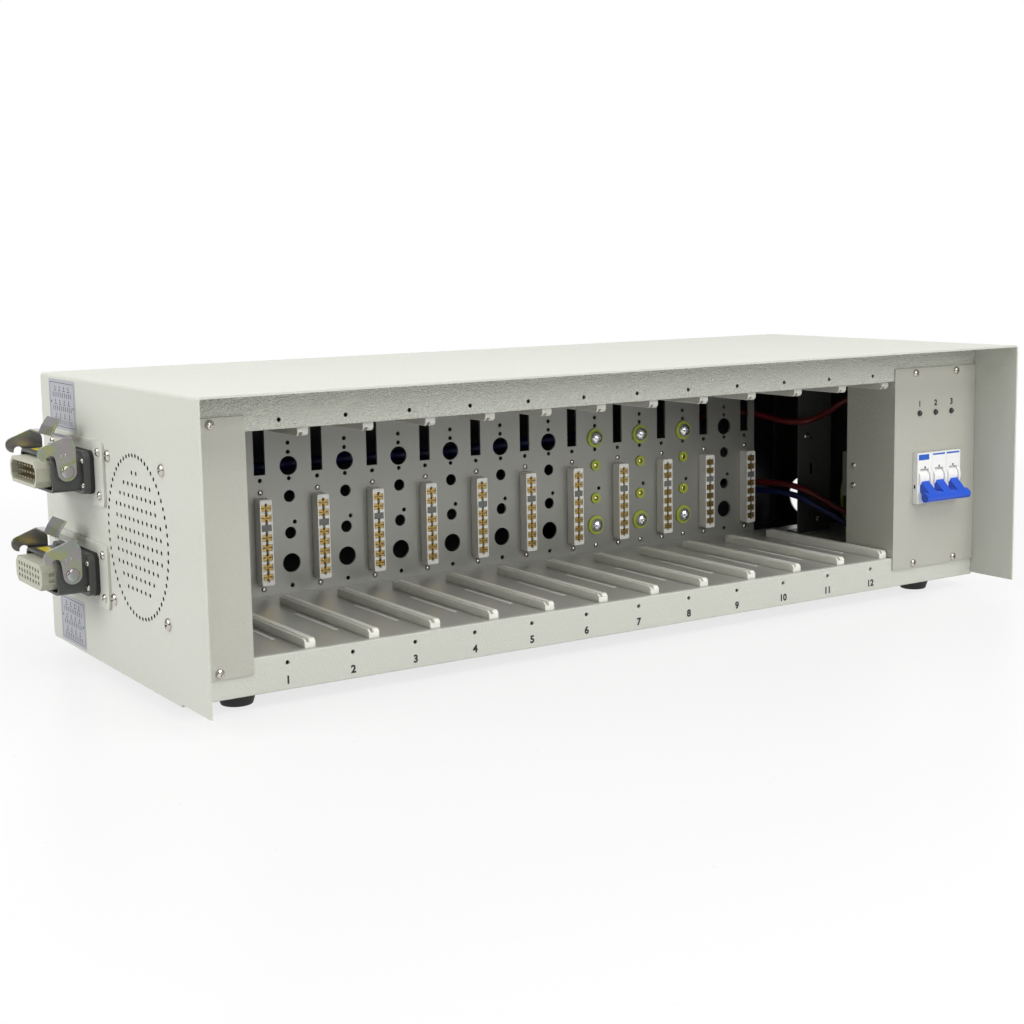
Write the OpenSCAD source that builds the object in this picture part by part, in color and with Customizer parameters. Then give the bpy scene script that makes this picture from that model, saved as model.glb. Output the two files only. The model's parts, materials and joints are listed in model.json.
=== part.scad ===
// Bench mainframe chassis: a card cage for plug-in control modules in a folded sheet case.
// Case frame: X right from the middle of the case, Y back from the bezel, Z up from the ground.

/* [Card cage] */
// Number of module slots
slot_count = 12; // [6:1:16]
// Width of one module slot
slot_pitch = 50.8; // [46:0.1:60]
// Slot widths left of the first slot, behind the blank panel
left_units = 1; // [1:1:3]
// Slot widths taken by the power panel
power_units = 2; // [2:1:4]
// Clear height between module floor and ceiling
bay_h = 156.1; // [150:0.1:180]
// Bezel to the face of the backplane
bay_d = 190; // [180:1:230]

/* [Case] */
// Module floor over the underside of the case
plenum_h = 26; // [22:0.1:40]
// Case top over the module ceiling
head_h = 29.2; // [24:0.1:40]
// Face of the backplane to the back of the case
rear_d = 80.8; // [76:0.1:120]
// Hood in front of the bezel
hood_d = 48; // [30:1:80]
// Thickness of cover, rails and panels
sheet = 1.5; // [1:0.1:2]
// Thickness of the base sheet
base_t = 2; // [1.5:0.1:3]
// Outside radius of the cover's bends
bend_r = 3; // [2.5:0.1:6]
// Depth of the folds along the bay's front edges
lip_d = 4; // [3:0.1:6]
// Depth of the fold along the top of the front rail
rail_d = 15; // [10:1:25]
// Height of the folds that take the case screws
fold_h = 14; // [12:0.5:20]
// Ends of the cover's back fold from the sides
fold_in = 12; // [6:1:30]
// Gap between sheet pieces that slide together
fit = 0.3; // [0.1:0.05:0.5]

/* [Module screw rows] */
// Screw rows beyond the floor and ceiling
row_off = 6.5; // [5:0.1:8]
// Diameter of the module screw holes
row_hole_d = 3.2; // [2.5:0.1:4]
// Diameter of the room left behind those holes
row_room_d = 6; // [5:0.1:7]

/* [Feet] */
// Height of the feet
foot_h = 10.5; // [8:0.5:20]
// Diameter at the top of a foot
foot_top_d = 29; // [26:0.5:40]
// Diameter at the ground
foot_low_d = 22.5; // [20:0.5:36]
// Rubber between a foot's screw head and the case
foot_web = 4; // [2.5:0.1:5]
// Foot axis from the side of the case
foot_in_x = 49.5; // [30:0.5:80]
// Foot axis from the bezel and from the back
foot_in_y = 25; // [22:0.5:60]

/* [Front panels] */
// Panels over the floor and ceiling edges
panel_lap = 10.9; // [9:0.1:12]
// Depth of the blank panel's side folds
blank_fold = 10; // [6:0.5:11]
// Depth of the power panel's side folds
box_fold = 57; // [50:0.5:70]
// Panel folds clear of the floor and ceiling
fold_gap = 0.5; // [0.3:0.1:6]
// Bracket screws from the edge of those folds and from the breaker's axis
ear_screw = 9; // [7:0.5:12]
// Half spacing of the power panel's screws
panel_screw_x = 25.4; // [18:0.1:30]
// Diameter of an indicator lamp
lamp_d = 5; // [3:0.1:8]
// Spacing of the indicator lamps
lamp_pitch = 20; // [12:0.5:24]
// Height of the lamps over the floor
lamp_up = 126.7; // [115:0.1:140]

/* [Module guides] */
// Width of a guide bar
guide_w = 8.4; // [6:0.1:10]
// Height of a guide bar
guide_h = 6.5; // [4:0.1:9]
// Length of a guide bar
guide_l = 150; // [120:1:165]
// Front end of the guides behind the bezel
guide_y = 5; // [4.5:0.1:10]
// Guide axis right of the slot's screw
guide_off = 20; // [17:0.1:20.5]
// Bevel at the front of a guide
guide_bevel = 2; // [0.5:0.1:3]
// Depth of the card groove along a guide
guide_groove = 2.6; // [1:0.1:3.5]
// Air slot right of the slot's screw
vent_off = 10; // [4:0.1:12]
// Width of an air slot in the floor
vent_w = 2.5; // [1.5:0.1:4]
// Length of an air slot in the floor
vent_l = 68; // [40:1:90]
// Front end of the air slots
vent_y = 45.5; // [30:0.5:70]

/* [Backplane] */
// Thickness of the backplane
plane_t = 2; // [1.5:0.1:3]
// Backplane beyond the slots at each end
plane_lap = 5.4; // [3:0.1:8]
// Backplane over the ceiling
plane_over = 12; // [6:0.5:16]
// Hole column left of the slot's screw
column_off = 7; // [5:0.1:9]
// Diameter of the large holes
big_hole_d = 15.7; // [12:0.1:18]
// Diameter of the middle holes
mid_hole_d = 9.9; // [8:0.1:11]
// Diameter of the small holes
small_hole_d = 3.6; // [2.5:0.1:4]
// Width of the air slots over the connectors
air_slot_w = 10; // [6:0.1:12]
// Foot of those slots over the floor
air_slot_up = 98.9; // [98:0.1:110]
// Those slots end under the ceiling
air_slot_gap = 6; // [3:0.5:14]

/* [Slot connectors] */
// Card plane right of the slot's screw
card_off = 18.4; // [17:0.1:19]
// Width of a connector
conn_w = 10.6; // [9.5:0.1:12]
// Height of a connector
conn_h = 69.5; // [68:0.1:72]
// Connector in front of the backplane
conn_proud = 10; // [7:0.5:14]
// Connector behind the backplane
conn_rear = 12; // [8:0.5:16]
// Connector's middle over the floor
conn_up = 45.3; // [45:0.1:50]
// Spacing of its two screws
conn_span = 79.1; // [78:0.1:84]
// Contact positions in a connector
contact_count = 8; // [4:1:8]
// Spacing of the contacts
contact_pitch = 8; // [6.5:0.1:8.4]
// Position of the polarising key, from the top
key_place = 3; // [1:1:4]
// Thickness of the card that plugs in
card_t = 1.6; // [1:0.1:2]
// Width across a pair of contacts
contact_w = 8.4; // [6:0.1:8.6]
// Height of a contact
contact_h = 5; // [3:0.1:5.2]
// Gap between the two prongs of a contact
prong_gap = 0.7; // [0.4:0.1:1]

/* [Bus bars] */
// Number of bus bars, ending at the last slot but one
bus_count = 3; // [1:1:4]
// Width of a bus bar
bus_w = 14; // [10:0.5:16]
// Thickness of a bus bar
bus_t = 3; // [2:0.5:5]
// Length of the insulated bush behind the backplane
bush_l = 4; // [3:0.5:6]
// Thickness of a bush's flange
bush_flange = 1.6; // [1:0.1:3]
// Flange of a bolt's bush beyond its hole
bush_rim = 0.65; // [0.4:0.05:1.5]
// Diameter of the bus bolts
bus_bolt_d = 6; // [4:0.5:8]
// Bolts and pins beyond the bus bar
bolt_over = 1; // [0.5:0.1:3]
// Diameter of the bus pins
bus_pin_d = 4; // [3:0.1:5]

/* [Fan] */
// Fan behind the blank panel's folds
fan_gap = 1.5; // [1:0.1:6]
// Fan axis over the middle of the bay
fan_rise = 2; // [-4:0.5:6]
// Side of the square fan frame
fan_size = 119; // [116:0.5:120]
// Thickness of the fan
fan_t = 25; // [24:0.5:38]
// Fan's screws from the edges of its frame
fan_screw_in = 7; // [6.5:0.1:8]
// Length of the fan's screws in the frame
fan_screw_l = 12; // [8:0.5:20]
// Thinnest wall of the fan frame
fan_rim = 3.5; // [3:0.1:9]
// Diameter of the rotor's hub
fan_hub_d = 44; // [40:1:60]
// Number of blades
fan_blades = 7; // [5:1:7]
// Twist of a blade
fan_twist = 28; // [10:1:40]
// Diameter of the rotor's shaft
fan_shaft_d = 5; // [4:0.5:8]
// Diameter of the perforation's holes
perf_d = 3.2; // [2:0.1:4]
// Spacing of the holes along the case
perf_step_y = 8.4; // [7:0.1:10]
// Spacing of the rows of holes
perf_step_z = 8.3; // [7:0.1:10]
// Radius of the field of holes
perf_r = 46; // [30:0.1:48]
// Radius of the ring of holes round the field
ring_r = 57.5; // [54:0.1:60]
// Number of holes in the ring
ring_count = 60; // [30:1:64]

/* [Side connectors] */
// Adaptor plates behind the heads of the fan's screws
side_gap = 2; // [1:0.1:10]
// Half spacing of the two connectors
side_half = 38; // [36:0.5:42]
// Length of the hole in the case
side_hole_l = 86; // [80:0.5:92]
// Height of the hole in the case
side_hole_h = 36; // [30:0.5:38]
// Length of the adaptor plate
plate_l = 120; // [116:1:122]
// Height of the adaptor plate
plate_h = 48; // [46:0.5:56]
// Thickness of the adaptor plate
plate_t = 2; // [1.5:0.1:3]
// Length spacing of the plate's screws
plate_span_l = 103; // [100:0.5:106]
// Height spacing of the plate's screws
plate_span_h = 32; // [30:0.5:36]
// Thickness of the gasket
gasket_t = 3; // [2:0.1:5]
// Housing's flange beyond each end of the shell
flange_end = 4.8; // [4:0.1:6]
// Housing's flange beyond the top and foot of the shell
flange_side = 2.3; // [1.5:0.1:3.5]
// Height of the flange's screws from the connector's axis
flange_screw_up = 9; // [7:0.1:10]
// Thickness of the housing's flange
flange_t = 5; // [3:0.1:6]
// Corner radius of the housing's flange
flange_r = 6; // [4:0.5:8]
// Corner radius of the shell
shell_r = 5; // [4:0.5:6]
// Length of the housing's shell
shell_l = 74.4; // [73:0.2:76]
// Height of the housing's shell
shell_h = 27; // [26:0.2:29]
// Depth of the housing's shell from the gasket
shell_d = 26.7; // [24:0.1:32]
// Wall of the shell
shell_wall = 2; // [1.5:0.1:2.3]
// Floor of the shell
shell_floor = 3; // [2:0.1:5]
// Length of the insert
insert_l = 63; // [60:0.2:65]
// Height of the insert
insert_h = 19.4; // [18:0.1:20]
// Insert beyond the mouth of the shell
insert_out = 10; // [6:0.1:14]
// Insert inside the case
insert_in = 18; // [12:0.5:25]
// Bevel at the corners of the insert
insert_bevel = 5; // [2:0.1:6]
// Wall round the pocket of the upper insert
insert_wall = 2.5; // [1.8:0.1:3]
// Depth of that pocket
pocket_depth = 12.7; // [8:0.1:14]
// Size of the tab at the far end of the insert
insert_tab = 2.4; // [1.5:0.1:3]
// Contacts in a row of the insert
pin_cols = 8; // [4:1:10]
// Rows of contacts
pin_rows = 3; // [2:1:3]
// Spacing of the contacts along a row
pin_step = 6.6; // [5:0.1:6.6]
// Spacing of the rows
row_step = 4.6; // [4:0.1:5]
// Diameter of a contact pin
pin_d = 1.7; // [1:0.1:2.2]

/* [Locking levers] */
// Lever pivot over the connector's axis
pivot_up = 2; // [0:0.1:3]
// Lever pivot outside the side of the case
pivot_out = 21.3; // [21:0.1:24]
// Thickness of the lever's sheet
lever_t = 1.5; // [1:0.1:2]
// Radius round the pivot
lever_r = 7; // [6:0.1:7]
// Radius of the elbow
elbow_r = 8; // [7:0.1:8]
// Radius of the hook's end
hook_r = 5.8; // [5:0.1:6.5]
// Radius of the notch in the hook
notch_r = 3.4; // [2.5:0.1:3.6]
// Diameter of the pivot pin
pivot_d = 6; // [4:0.1:7]
// Width of the thumb tab
tab_w = 30; // [20:1:40]
// Elbow from the pivot, up and outwards
elbow_at = [17, 1]; // [-5:0.1:40]
// End of the hook from the pivot
hook_at = [14, 15.2]; // [-5:0.1:40]
// Notch in the hook from the pivot
notch_at = [9.2, 11.7]; // [-5:0.1:40]
// Inner edge of the bridge from the pivot
crown_at = [24.4, -4.8]; // [-10:0.1:40]
// Outer edge of the bridge from the pivot
tab_foot_at = [24.6, 2.2]; // [-10:0.1:40]
// Bend of the thumb tab from the pivot
tab_bend_at = [30, -0.4]; // [-10:0.1:40]
// Tip of the thumb tab from the pivot
tab_tip_at = [36.2, -5.1]; // [-10:0.1:50]
// Running clearance on pins, in radius
run_fit = 0.05; // [0.02:0.01:0.1]

/* [Breaker] */
// Width of one breaker pole
pole_w = 18; // [17.5:0.1:18]
// Number of poles
pole_count = 3; // [1:1:4]
// Height of the breaker's nose
nose_h = 45; // [44:0.5:50]
// Height of the breaker's body
breaker_h = 80; // [76:0.5:86]
// Nose in front of the power panel
nose_out = 5.3; // [4:0.1:8]
// Back of the breaker behind the bezel
breaker_back = 56.5; // [54:0.5:60]
// Breaker axis over the module floor
breaker_up = 69.3; // [64:0.1:74]
// Handle pivot behind the nose
toggle_in = 6.8; // [6:0.1:8]
// Handle's drum in front of the nose
drum_out = 1.1; // [0.5:0.1:2]
// Width of a handle stem
stem_w = 10; // [8:0.1:11]
// Half thickness of a stem at the pivot
stem_r = 3; // [2:0.1:3.5]
// Start of a stem from the pivot
stem_root = 5; // [4:0.1:5.5]
// Handle bar from the pivot
bar_reach = 22.7; // [21:0.1:26]
// Radius of the handle bar
bar_r = 4; // [3:0.1:4.5]
// Fall of the handle when it is off
off_angle = 45; // [40:0.1:48]
// Rise of the handle when it is on
on_angle = 30; // [20:0.1:34]
// Guards beside each stem in front of the nose
guard_out = 2.4; // [1.5:0.1:4]
// Thickness of those guards
guard_t = 2.2; // [1.5:0.1:3]
// Diameter of the handle's axle
axle_d = 4; // [3:0.1:5]
// Terminals behind the bezel
terminal_y = 40; // [36:0.5:44]
// Depth of a terminal hole
terminal_l = 8; // [6:0.5:12]
// Height of the breaker's rail
rail_h = 35; // [34:0.5:36]
// Height of the bracket that carries the rail
holder_h = 40; // [36:0.5:60]
// Length of that bracket's ears along the box
holder_ear = 16; // [12:0.5:30]

/* [Wiring] */
// Diameter of the power leads
lead_d = 6; // [4:0.1:7]
// Diameter of the loom behind the backplane
loom_d = 9; // [6:0.5:10]
// Width of the wiring bracket
bracket_w = 42; // [30:1:50]
// Wiring bracket in front of the back of the backplane
bracket_gap = 42; // [34:1:46]
// Length of the bracket's folds on floor and ceiling
bracket_fold = 15; // [10:0.5:20]
// Diameter of the earth lead
earth_d = 4; // [3:0.1:5]
// Diameter of the cable hole in the right side
cable_hole_d = 37; // [25:0.5:42]
// Cable hole in front of the back of the case
cable_in = 44; // [34:0.5:60]
// Cable hole over the module floor
cable_up = 21.5; // [20:0.5:60]

/* [Screws] */
// Head diameter of the case screws
case_head_d = 9; // [7:0.1:10]
// Shank diameter of the case screws
case_shank_d = 4; // [3:0.1:5]
// Head diameter of the panel screws
panel_head_d = 6.6; // [5:0.1:8]
// Shank diameter of the panel screws
panel_shank_d = 3.2; // [2.5:0.1:3.5]
// Head diameter of the small screws
small_head_d = 4.6; // [4:0.1:5]
// Shank diameter of the small screws
small_shank_d = 2.5; // [2:0.1:3]
// Clearance of a screw hole, in diameter
hole_fit = 0.3; // [0.1:0.05:0.6]
// Rear panel's last screws from the sides
rear_screw_in = 40; // [30:1:80]

/* [Hidden] */
$fn = 48;

// Main levels and faces of the case
unit_count = left_units + slot_count + power_units;
inner_w = unit_count * slot_pitch;
case_w = inner_w + 2 * sheet;
case_d = bay_d + rear_d;
base_z = foot_h;
cover_z = base_z + base_t;
floor_z = base_z + plenum_h;
ceil_z = floor_z + bay_h;
top_z = ceil_z + head_h;
mid_z = floor_z + bay_h / 2;
under_z = top_z - sheet;
wall_x = inner_w / 2;
bay_x0 = left_units * slot_pitch - wall_x;
bay_x1 = bay_x0 + slot_count * slot_pitch;
row_zs = [floor_z - row_off, ceil_z + row_off];
fan_y = blank_fold + fan_gap + fan_size / 2;
fan_z = mid_z + fan_rise;
fan_pitch = fan_size - 2 * fan_screw_in;
fan_bore = fan_size - 2 * fan_rim;
fan_corner_r = 5;
fan_strut = [4, 6];
cup_wall = 3;
cup_gap = 2;
fan_boss_d = fan_hub_d - 2 * (cup_wall + cup_gap);
fan_boss_in = 8;
rotor_in = 2;
rotor_d = fan_t - 2 * fan_strut[0];
blade_t = 1.8;
blade_gap = 2;
perf_start = [-2.9, 3.5];
perf_mid = [-1, 0];

// Power box and breaker
box_x0 = bay_x1 + fit;
box_x1 = wall_x - fit;
power_x = (box_x0 + box_x1) / 2;
rail_depth = 6.5;
rail_t = 1;
rail_brim = 5;
rail_fit = 0.1;
seam = [0.5, 0.6];
axle_in = 2;
key_fit = 0.1;
lamp_l = 8;
lamp_collar = 2;
ear_head_d = panel_head_d - 1.4;
breaker_z = floor_z + breaker_up;
nose_y = -sheet - nose_out;
breaker_w = pole_count * pole_w;
toggle_y = nose_y + toggle_in;
drum_r = toggle_in + drum_out;
bar_y = toggle_y - bar_reach * cos(off_angle);
bar_z = breaker_z - bar_reach * sin(off_angle);
window_low = toggle_in * tan(off_angle) + bar_r / cos(off_angle);
window_top = toggle_in * tan(on_angle) + bar_r / cos(on_angle);
holder_back = breaker_back + rail_depth - rail_fit + sheet;

// Slot connector and hole heights over the floor
conn_z = floor_z + conn_up;
conn_y = bay_d - conn_proud;
plane_back = bay_d + plane_t;
ear_t = 3;
ear_over = 4;
conn_r = 1.4;
pocket_d = 11.5;
card_slot_d = 9;
contact_fit = 0.2;
groove_fit = 0.4;
fork_d = 8.5;
prong_d = 4;
small_ups = [123.5, 116, 94.5, 6.4];
mid_ups = [79.9, 49.8];
big_ups = [104.9, 25];
odd_hole = [4, 58.5];
contact_in = 0.6;
bus_y = plane_back + bush_l;
bus_head_d = bus_bolt_d * 2.1;
bus_head_h = bus_bolt_d * 0.8;
bus_pin_in = 0.4;

// Side connector levels, outwards from the side of the case
side_y = fan_y + (fan_pitch + case_head_d + plate_l) / 2 + side_gap;
flange_l = shell_l + 2 * flange_end;
flange_h = shell_h + 2 * flange_side;
flange_screw_y = (shell_l + small_head_d) / 2 + 0.1;
gasket_u = plate_t;
shell_u = gasket_u + gasket_t;
mouth_u = shell_u + shell_d;
insert_u = mouth_u + insert_out;
seat_u = shell_u + shell_floor;
pocket_u = insert_u - pocket_depth;
insert_fit = 0.5;
side_hole_r = 4;
plate_r = 5;
passage_r = 2;
collar_t = 3;
pin_sunk = 6;
pin_l = 16;
socket_d = pin_d + 1.6;
socket_depth = 12;
insert_window = [2.4, 1.5, 4];
rivet_over = 3;
rivet_t = 1.2;
boss_t = 1;
cheek_y = shell_l / 2 + boss_t + fit;
rivet_y = cheek_y + lever_t + fit / 2;
pivot = [pivot_up, pivot_out];
elbow = pivot + elbow_at;
hook = pivot + hook_at;

// Whole part centred over its own outline
head_h_case = 2.6;
head_h_panel = 2.2;
head_h_small = 1.6;
screw_over = 2;
reach_left = max(insert_u, hook[1] + hook_r);
shift_x = reach_left / 2;
shift_y = (hood_d - case_d - head_h_case) / 2;

// Leads as points chosen by hand, from the bay's right end, the back of the backplane and the floor
red_upper_pts = [[-70, 22, 110], [-20, 20, 116], [13, 7, 114], [20, -22, 108.7], [22, -50, 109],
    [32, -58, 112.3], [46, -66, 119.5], [58, -80, 132], [64, -122, 132]];
red_lower_pts = [[-120, 24, 30], [-60, 25, 42], [-10, 24, 47], [14, 8, 46.5], [23, -24, 47],
    [22, -50, 45.5], [31, -60, 39.5], [41, -68, 32], [54, -86, 20], [52, -122, 12.5]];
blue_lower_pts = [[-170, 30, 28], [-90, 33, 34], [-14, 32, 37.5], [12, 15, 38], [22, -22, 38.5],
    [21.5, -50, 37], [30, -62, 29], [38, -74, 22], [42, -96, 13], [36, -122, 10]];
bracket_x = power_x - 3;
bracket_y = plane_back - bracket_gap;
bracket_hole_pts = [[-4, 16.8], [-4, 92]];
bracket_screw_pts = [[4.8, 11.8], [-11, 94]];
bracket_slot = [4, 11];
bracket_slot_at = [-4, 61.5];
loom_pts = [[-600, 14, 110], [-560, 22, 101], [-460, 21, 104], [-340, 22, 101], [-250, 21, 103],
    [-200, 22, 104.5]];
earth_pts = [[66, -67, 14], [61.5, -67, 26], [61, -67, 39], [63.5, -67, 52], [71, -70, 64], [79, -82, 73]];

// Colours
cream = [0.80, 0.81, 0.76];
grey = [0.55, 0.55, 0.52];
nickel = [0.78, 0.76, 0.70];
ivory = [0.86, 0.84, 0.76];
black = [0.06, 0.06, 0.06];
lead_red = [0.55, 0.05, 0.06];
lead_blue = [0.06, 0.09, 0.45];

// Places
function slot_name(i) = str("slot_connector_", i < 9 ? "0" : "", i + 1);
function slot_x(i) = bay_x0 + (i + 0.5) * slot_pitch;
function card_x(i) = slot_x(i) + card_off;
function column_x(i) = slot_x(i) - column_off;
function contact_z(k) = conn_z + ((contact_count - 1) / 2 - k) * contact_pitch;
function bus_slots() = [slot_count - 1 - bus_count:slot_count - 2];
function panel_xs() = [(bay_x0 - wall_x) / 2, power_x - panel_screw_x, power_x + panel_screw_x];
function pole_x(k) = power_x + (k - (pole_count - 1) / 2) * pole_w;
function side_z(s) = fan_z + s * side_half;
function lead_pts(pts) = [for (p = pts) [bay_x1 + p[0], plane_back + p[1], floor_z + p[2]]];
function stud_pts(i, up) = [for (d = [fit, 3, 7])
    [column_x(i), bus_y + bus_t + bolt_over + d, floor_z + up]];
function terminal_pts(k, s) = [for (d = [2 * lead_d, lead_d / 2, fit - terminal_l])
    [power_x + k * pole_w, terminal_y, breaker_z + s * (breaker_h / 2 + d)]];

// Rounds of a smooth route through the given points
function spline(a, b, c, d, t) =
    0.5 * (2 * b + (c - a) * t + (2 * a - 5 * b + 4 * c - d) * t * t + (3 * b - a - 3 * c + d) * t * t * t);
function route(p, n) = let (m = len(p) - 1) concat(
    [for (i = [0:m - 1]) for (k = [0:n - 1])
        spline(p[max(i - 1, 0)], p[i], p[i + 1], p[min(i + 2, m)], k / n)], [p[m]]);
function unit(v) = v / norm(v);
function heading(p, i) = unit(p[min(i + 1, len(p) - 1)] - p[max(i - 1, 0)]);

// A tube along a route that never runs along the given direction, with flat ends
module tube(p, d, across = [0.35, 0.45, 0.82], sides = 8) {
    rings = [for (i = [0:len(p) - 1])
        let (t = heading(p, i), n = unit(cross(t, across)), b = cross(t, n))
        for (j = [0:sides - 1]) p[i] + d / 2 * (cos(360 * j / sides) * n + sin(360 * j / sides) * b)];
    last = (len(p) - 1) * sides;
    walls = [for (i = [0:len(p) - 2]) for (j = [0:sides - 1]) let (k = (j + 1) % sides)
        [i * sides + j, (i + 1) * sides + j, (i + 1) * sides + k, i * sides + k]];
    ends = [[for (j = [0:sides - 1]) j], [for (j = [0:sides - 1]) last + sides - 1 - j]];
    polyhedron(rings, concat(walls, ends));
}

// Basic shapes
module place() translate([shift_x, shift_y, 0]) children();
module block(x0, x1, y0, y1, z0, z1) translate([x0, y0, z0]) cube([x1 - x0, y1 - y0, z1 - z0]);
module rod_x(d, x0, x1, y, z) translate([x0, y, z]) rotate([0, 90, 0]) cylinder(d = d, h = x1 - x0);
module rod_y(d, x, y0, y1, z) translate([x, y0, z]) rotate([-90, 0, 0]) cylinder(d = d, h = y1 - y0);
module rod_z(d, x, y, z0, z1) translate([x, y, z0]) cylinder(d = d, h = z1 - z0);

// Sections drawn in Y and Z and drawn out along X, or in X and Z and drawn out along Y
module drawn_x(x0, x1) translate([x0, 0, 0]) rotate([90, 0, 90]) linear_extrude(x1 - x0) children();
module drawn_y(y0, y1) translate([0, y1, 0]) rotate([90, 0, 0]) linear_extrude(y1 - y0) children();

// A sheet's section along a path of straight folds
module folded(path, t) {
    for (i = [0:len(path) - 2]) {
        run = path[i + 1] - path[i];
        translate(path[i]) rotate(atan2(run[1], run[0])) translate([0, -t / 2]) square([norm(run), t]);
    }
    for (i = [1:len(path) - 2]) translate(path[i]) circle(d = t);
}

// A rectangle with round corners
module round_rect(w, h, r) {
    square([w - 2 * r, h], center = true);
    square([w, h - 2 * r], center = true);
    for (x = [-1, 1], y = [-1, 1]) translate([x * (w / 2 - r), y * (h / 2 - r)]) circle(r);
}

// Two circles and the strip between their outer tangents
module link(a, ra, b, rb) {
    d = b - a;
    turn = atan2(d[1], d[0]);
    lean = acos((ra - rb) / norm(d));
    function edge(c, r, s) = c + r * [cos(turn + s * lean), sin(turn + s * lean)];
    translate(a) circle(ra);
    translate(b) circle(rb);
    polygon([edge(a, ra, 1), edge(b, rb, 1), b, edge(b, rb, -1), edge(a, ra, -1), a]);
}

// Pan-head screw, head up, with the underside of the head at the origin
module screw(head_d, head_h, shank_d, len) {
    dome = (head_d * head_d / 4 + head_h * head_h) / (2 * head_h);
    intersection() {
        translate([0, 0, head_h - dome]) sphere(dome);
        cylinder(d = head_d, h = head_h);
    }
    translate([0, 0, -len]) cylinder(d = shank_d, h = len);
}
module screw_y(x, y, z, head_d, head_h, shank_d, len)
    translate([x, y, z]) rotate([90, 0, 0]) screw(head_d, head_h, shank_d, len);

// Relief at the ends of a piece that lies in the cover's bends
module bend_relief() for (s = [0, 1]) mirror([s, 0, 0])
    block(wall_x - bend_r + sheet, wall_x + 1, -1, case_d + 1, under_z - bend_r + sheet, under_z + 1);

// Holes for the module screws and the panel screws in one of the two rows
module row_holes(z, depth) {
    for (i = [0:slot_count - 1]) rod_y(row_hole_d, slot_x(i), -1, depth, z);
    for (x = panel_xs()) rod_y(panel_shank_d + hole_fit, x, -1, depth, z);
}

// Room for the module screws in the legs of floor and ceiling
module screw_room(z) for (i = [0:slot_count - 1])
    rod_y(row_room_d, slot_x(i), lip_d, lip_d + fit + sheet + 1, z);

// Round field of air holes, drilled along X from x0 to x1
module perforation(x0, x1) {
    reach = ceil(perf_r / min(perf_step_y, perf_step_z));
    for (k = [0:ring_count - 1]) {
        a = 360 * (k + 0.5) / ring_count;
        rod_x(perf_d, x0, x1, fan_y + ring_r * cos(a), fan_z + ring_r * sin(a));
    }
    for (i = [-reach:reach], j = [-reach:reach]) {
        p = perf_start + [i * perf_step_y, j * perf_step_z];
        if (norm(p - perf_mid) < perf_r) rod_x(perf_d, x0, x1, fan_y + p[0], fan_z + p[1]);
    }
}

// Moves a side connector's piece to its place: X up, Y back, Z outwards from the case
module at_side(s) translate([-case_w / 2, side_y, side_z(s)]) rotate([0, -90, 0]) children();
module plate_spots() for (x = [-1, 1], y = [-1, 1])
    translate([x * plate_span_h / 2, y * plate_span_l / 2]) children();
module flange_spots() for (x = [-1, 1], y = [-1, 1])
    translate([x * flange_screw_up, y * flange_screw_y]) children();

// Folded cover: top, both sides and the hood, with a fold down at the back
module cover() color(cream) place() difference() {
    union() {
        drawn_y(-hood_d, case_d) difference() {
            cover_arch(case_w, top_z, bend_r);
            translate([0, -1]) cover_arch(inner_w, under_z + 1, bend_r - sheet);
        }
        block(-wall_x + fold_in, wall_x - fold_in, case_d - 2 * sheet, case_d - sheet,
            under_z - fold_h, under_z + sheet / 2);
    }
    perforation(-case_w / 2 - 1, -wall_x + 1);
    perforation(wall_x - 1, case_w / 2 + 1);
    fan_holes(case_w / 2);
    rod_x(cable_hole_d, wall_x - 1, case_w / 2 + 1, case_d - cable_in, floor_z + cable_up);
    for (s = [-1, 1]) at_side(s) translate([0, 0, -sheet - 1]) linear_extrude(sheet + 2) {
        round_rect(side_hole_h, side_hole_l, side_hole_r);
        plate_spots() circle(d = panel_shank_d + hole_fit);
    }
    for (x = rear_screw_xs())
        rod_y(case_shank_d + hole_fit, x, case_d - 3 * sheet, case_d, under_z - fold_h / 2);
}
module cover_arch(w, z1, r) {
    translate([-w / 2, cover_z]) square([w, z1 - cover_z - r]);
    translate([-w / 2 + r, cover_z]) square([w - 2 * r, z1 - cover_z]);
    for (s = [-1, 1]) translate([s * (w / 2 - r), z1 - r]) circle(r);
}
module fan_holes(x) for (y = [-1, 1], z = [-1, 1])
    rod_x(case_shank_d + hole_fit, -x - 1, -wall_x + fan_t + 1,
        fan_y + y * fan_pitch / 2, fan_z + z * fan_pitch / 2);
function rear_screw_xs() = [for (k = [-2:2]) k * (wall_x - rear_screw_in) / 2];

// Base sheet with the front lip, the fold at the back and two side folds
module base_tray() color(cream) place() difference() {
    back = case_d - sheet - base_t / 2;
    union() {
        drawn_x(-wall_x + fit, wall_x - fit) folded([
            [lip_d, floor_z - base_t / 2], [base_t / 2, floor_z - base_t / 2],
            [base_t / 2, base_z + base_t / 2], [back, base_z + base_t / 2],
            [back, cover_z + fold_h]], base_t);
        for (s = [0, 1]) mirror([s, 0, 0]) {
            block(wall_x - fit - 1, case_w / 2, base_t / 2, case_d - sheet, base_z, cover_z);
            block(wall_x - fit - base_t, wall_x - fit, foot_in_y, case_d - foot_in_y,
                base_z, cover_z + fold_h);
        }
    }
    row_holes(row_zs[0], base_t + 1);
    for (x = rear_screw_xs())
        rod_y(case_shank_d + hole_fit, x, case_d - 2 * base_t - sheet, case_d, cover_z + fold_h / 2);
    foot_places() rod_z(case_shank_d + hole_fit, 0, 0, base_z - 1, cover_z + 1);
}
module foot_places() for (x = [-1, 1], y = [foot_in_y, case_d - foot_in_y])
    translate([x * (case_w / 2 - foot_in_x), y, 0]) children();

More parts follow.
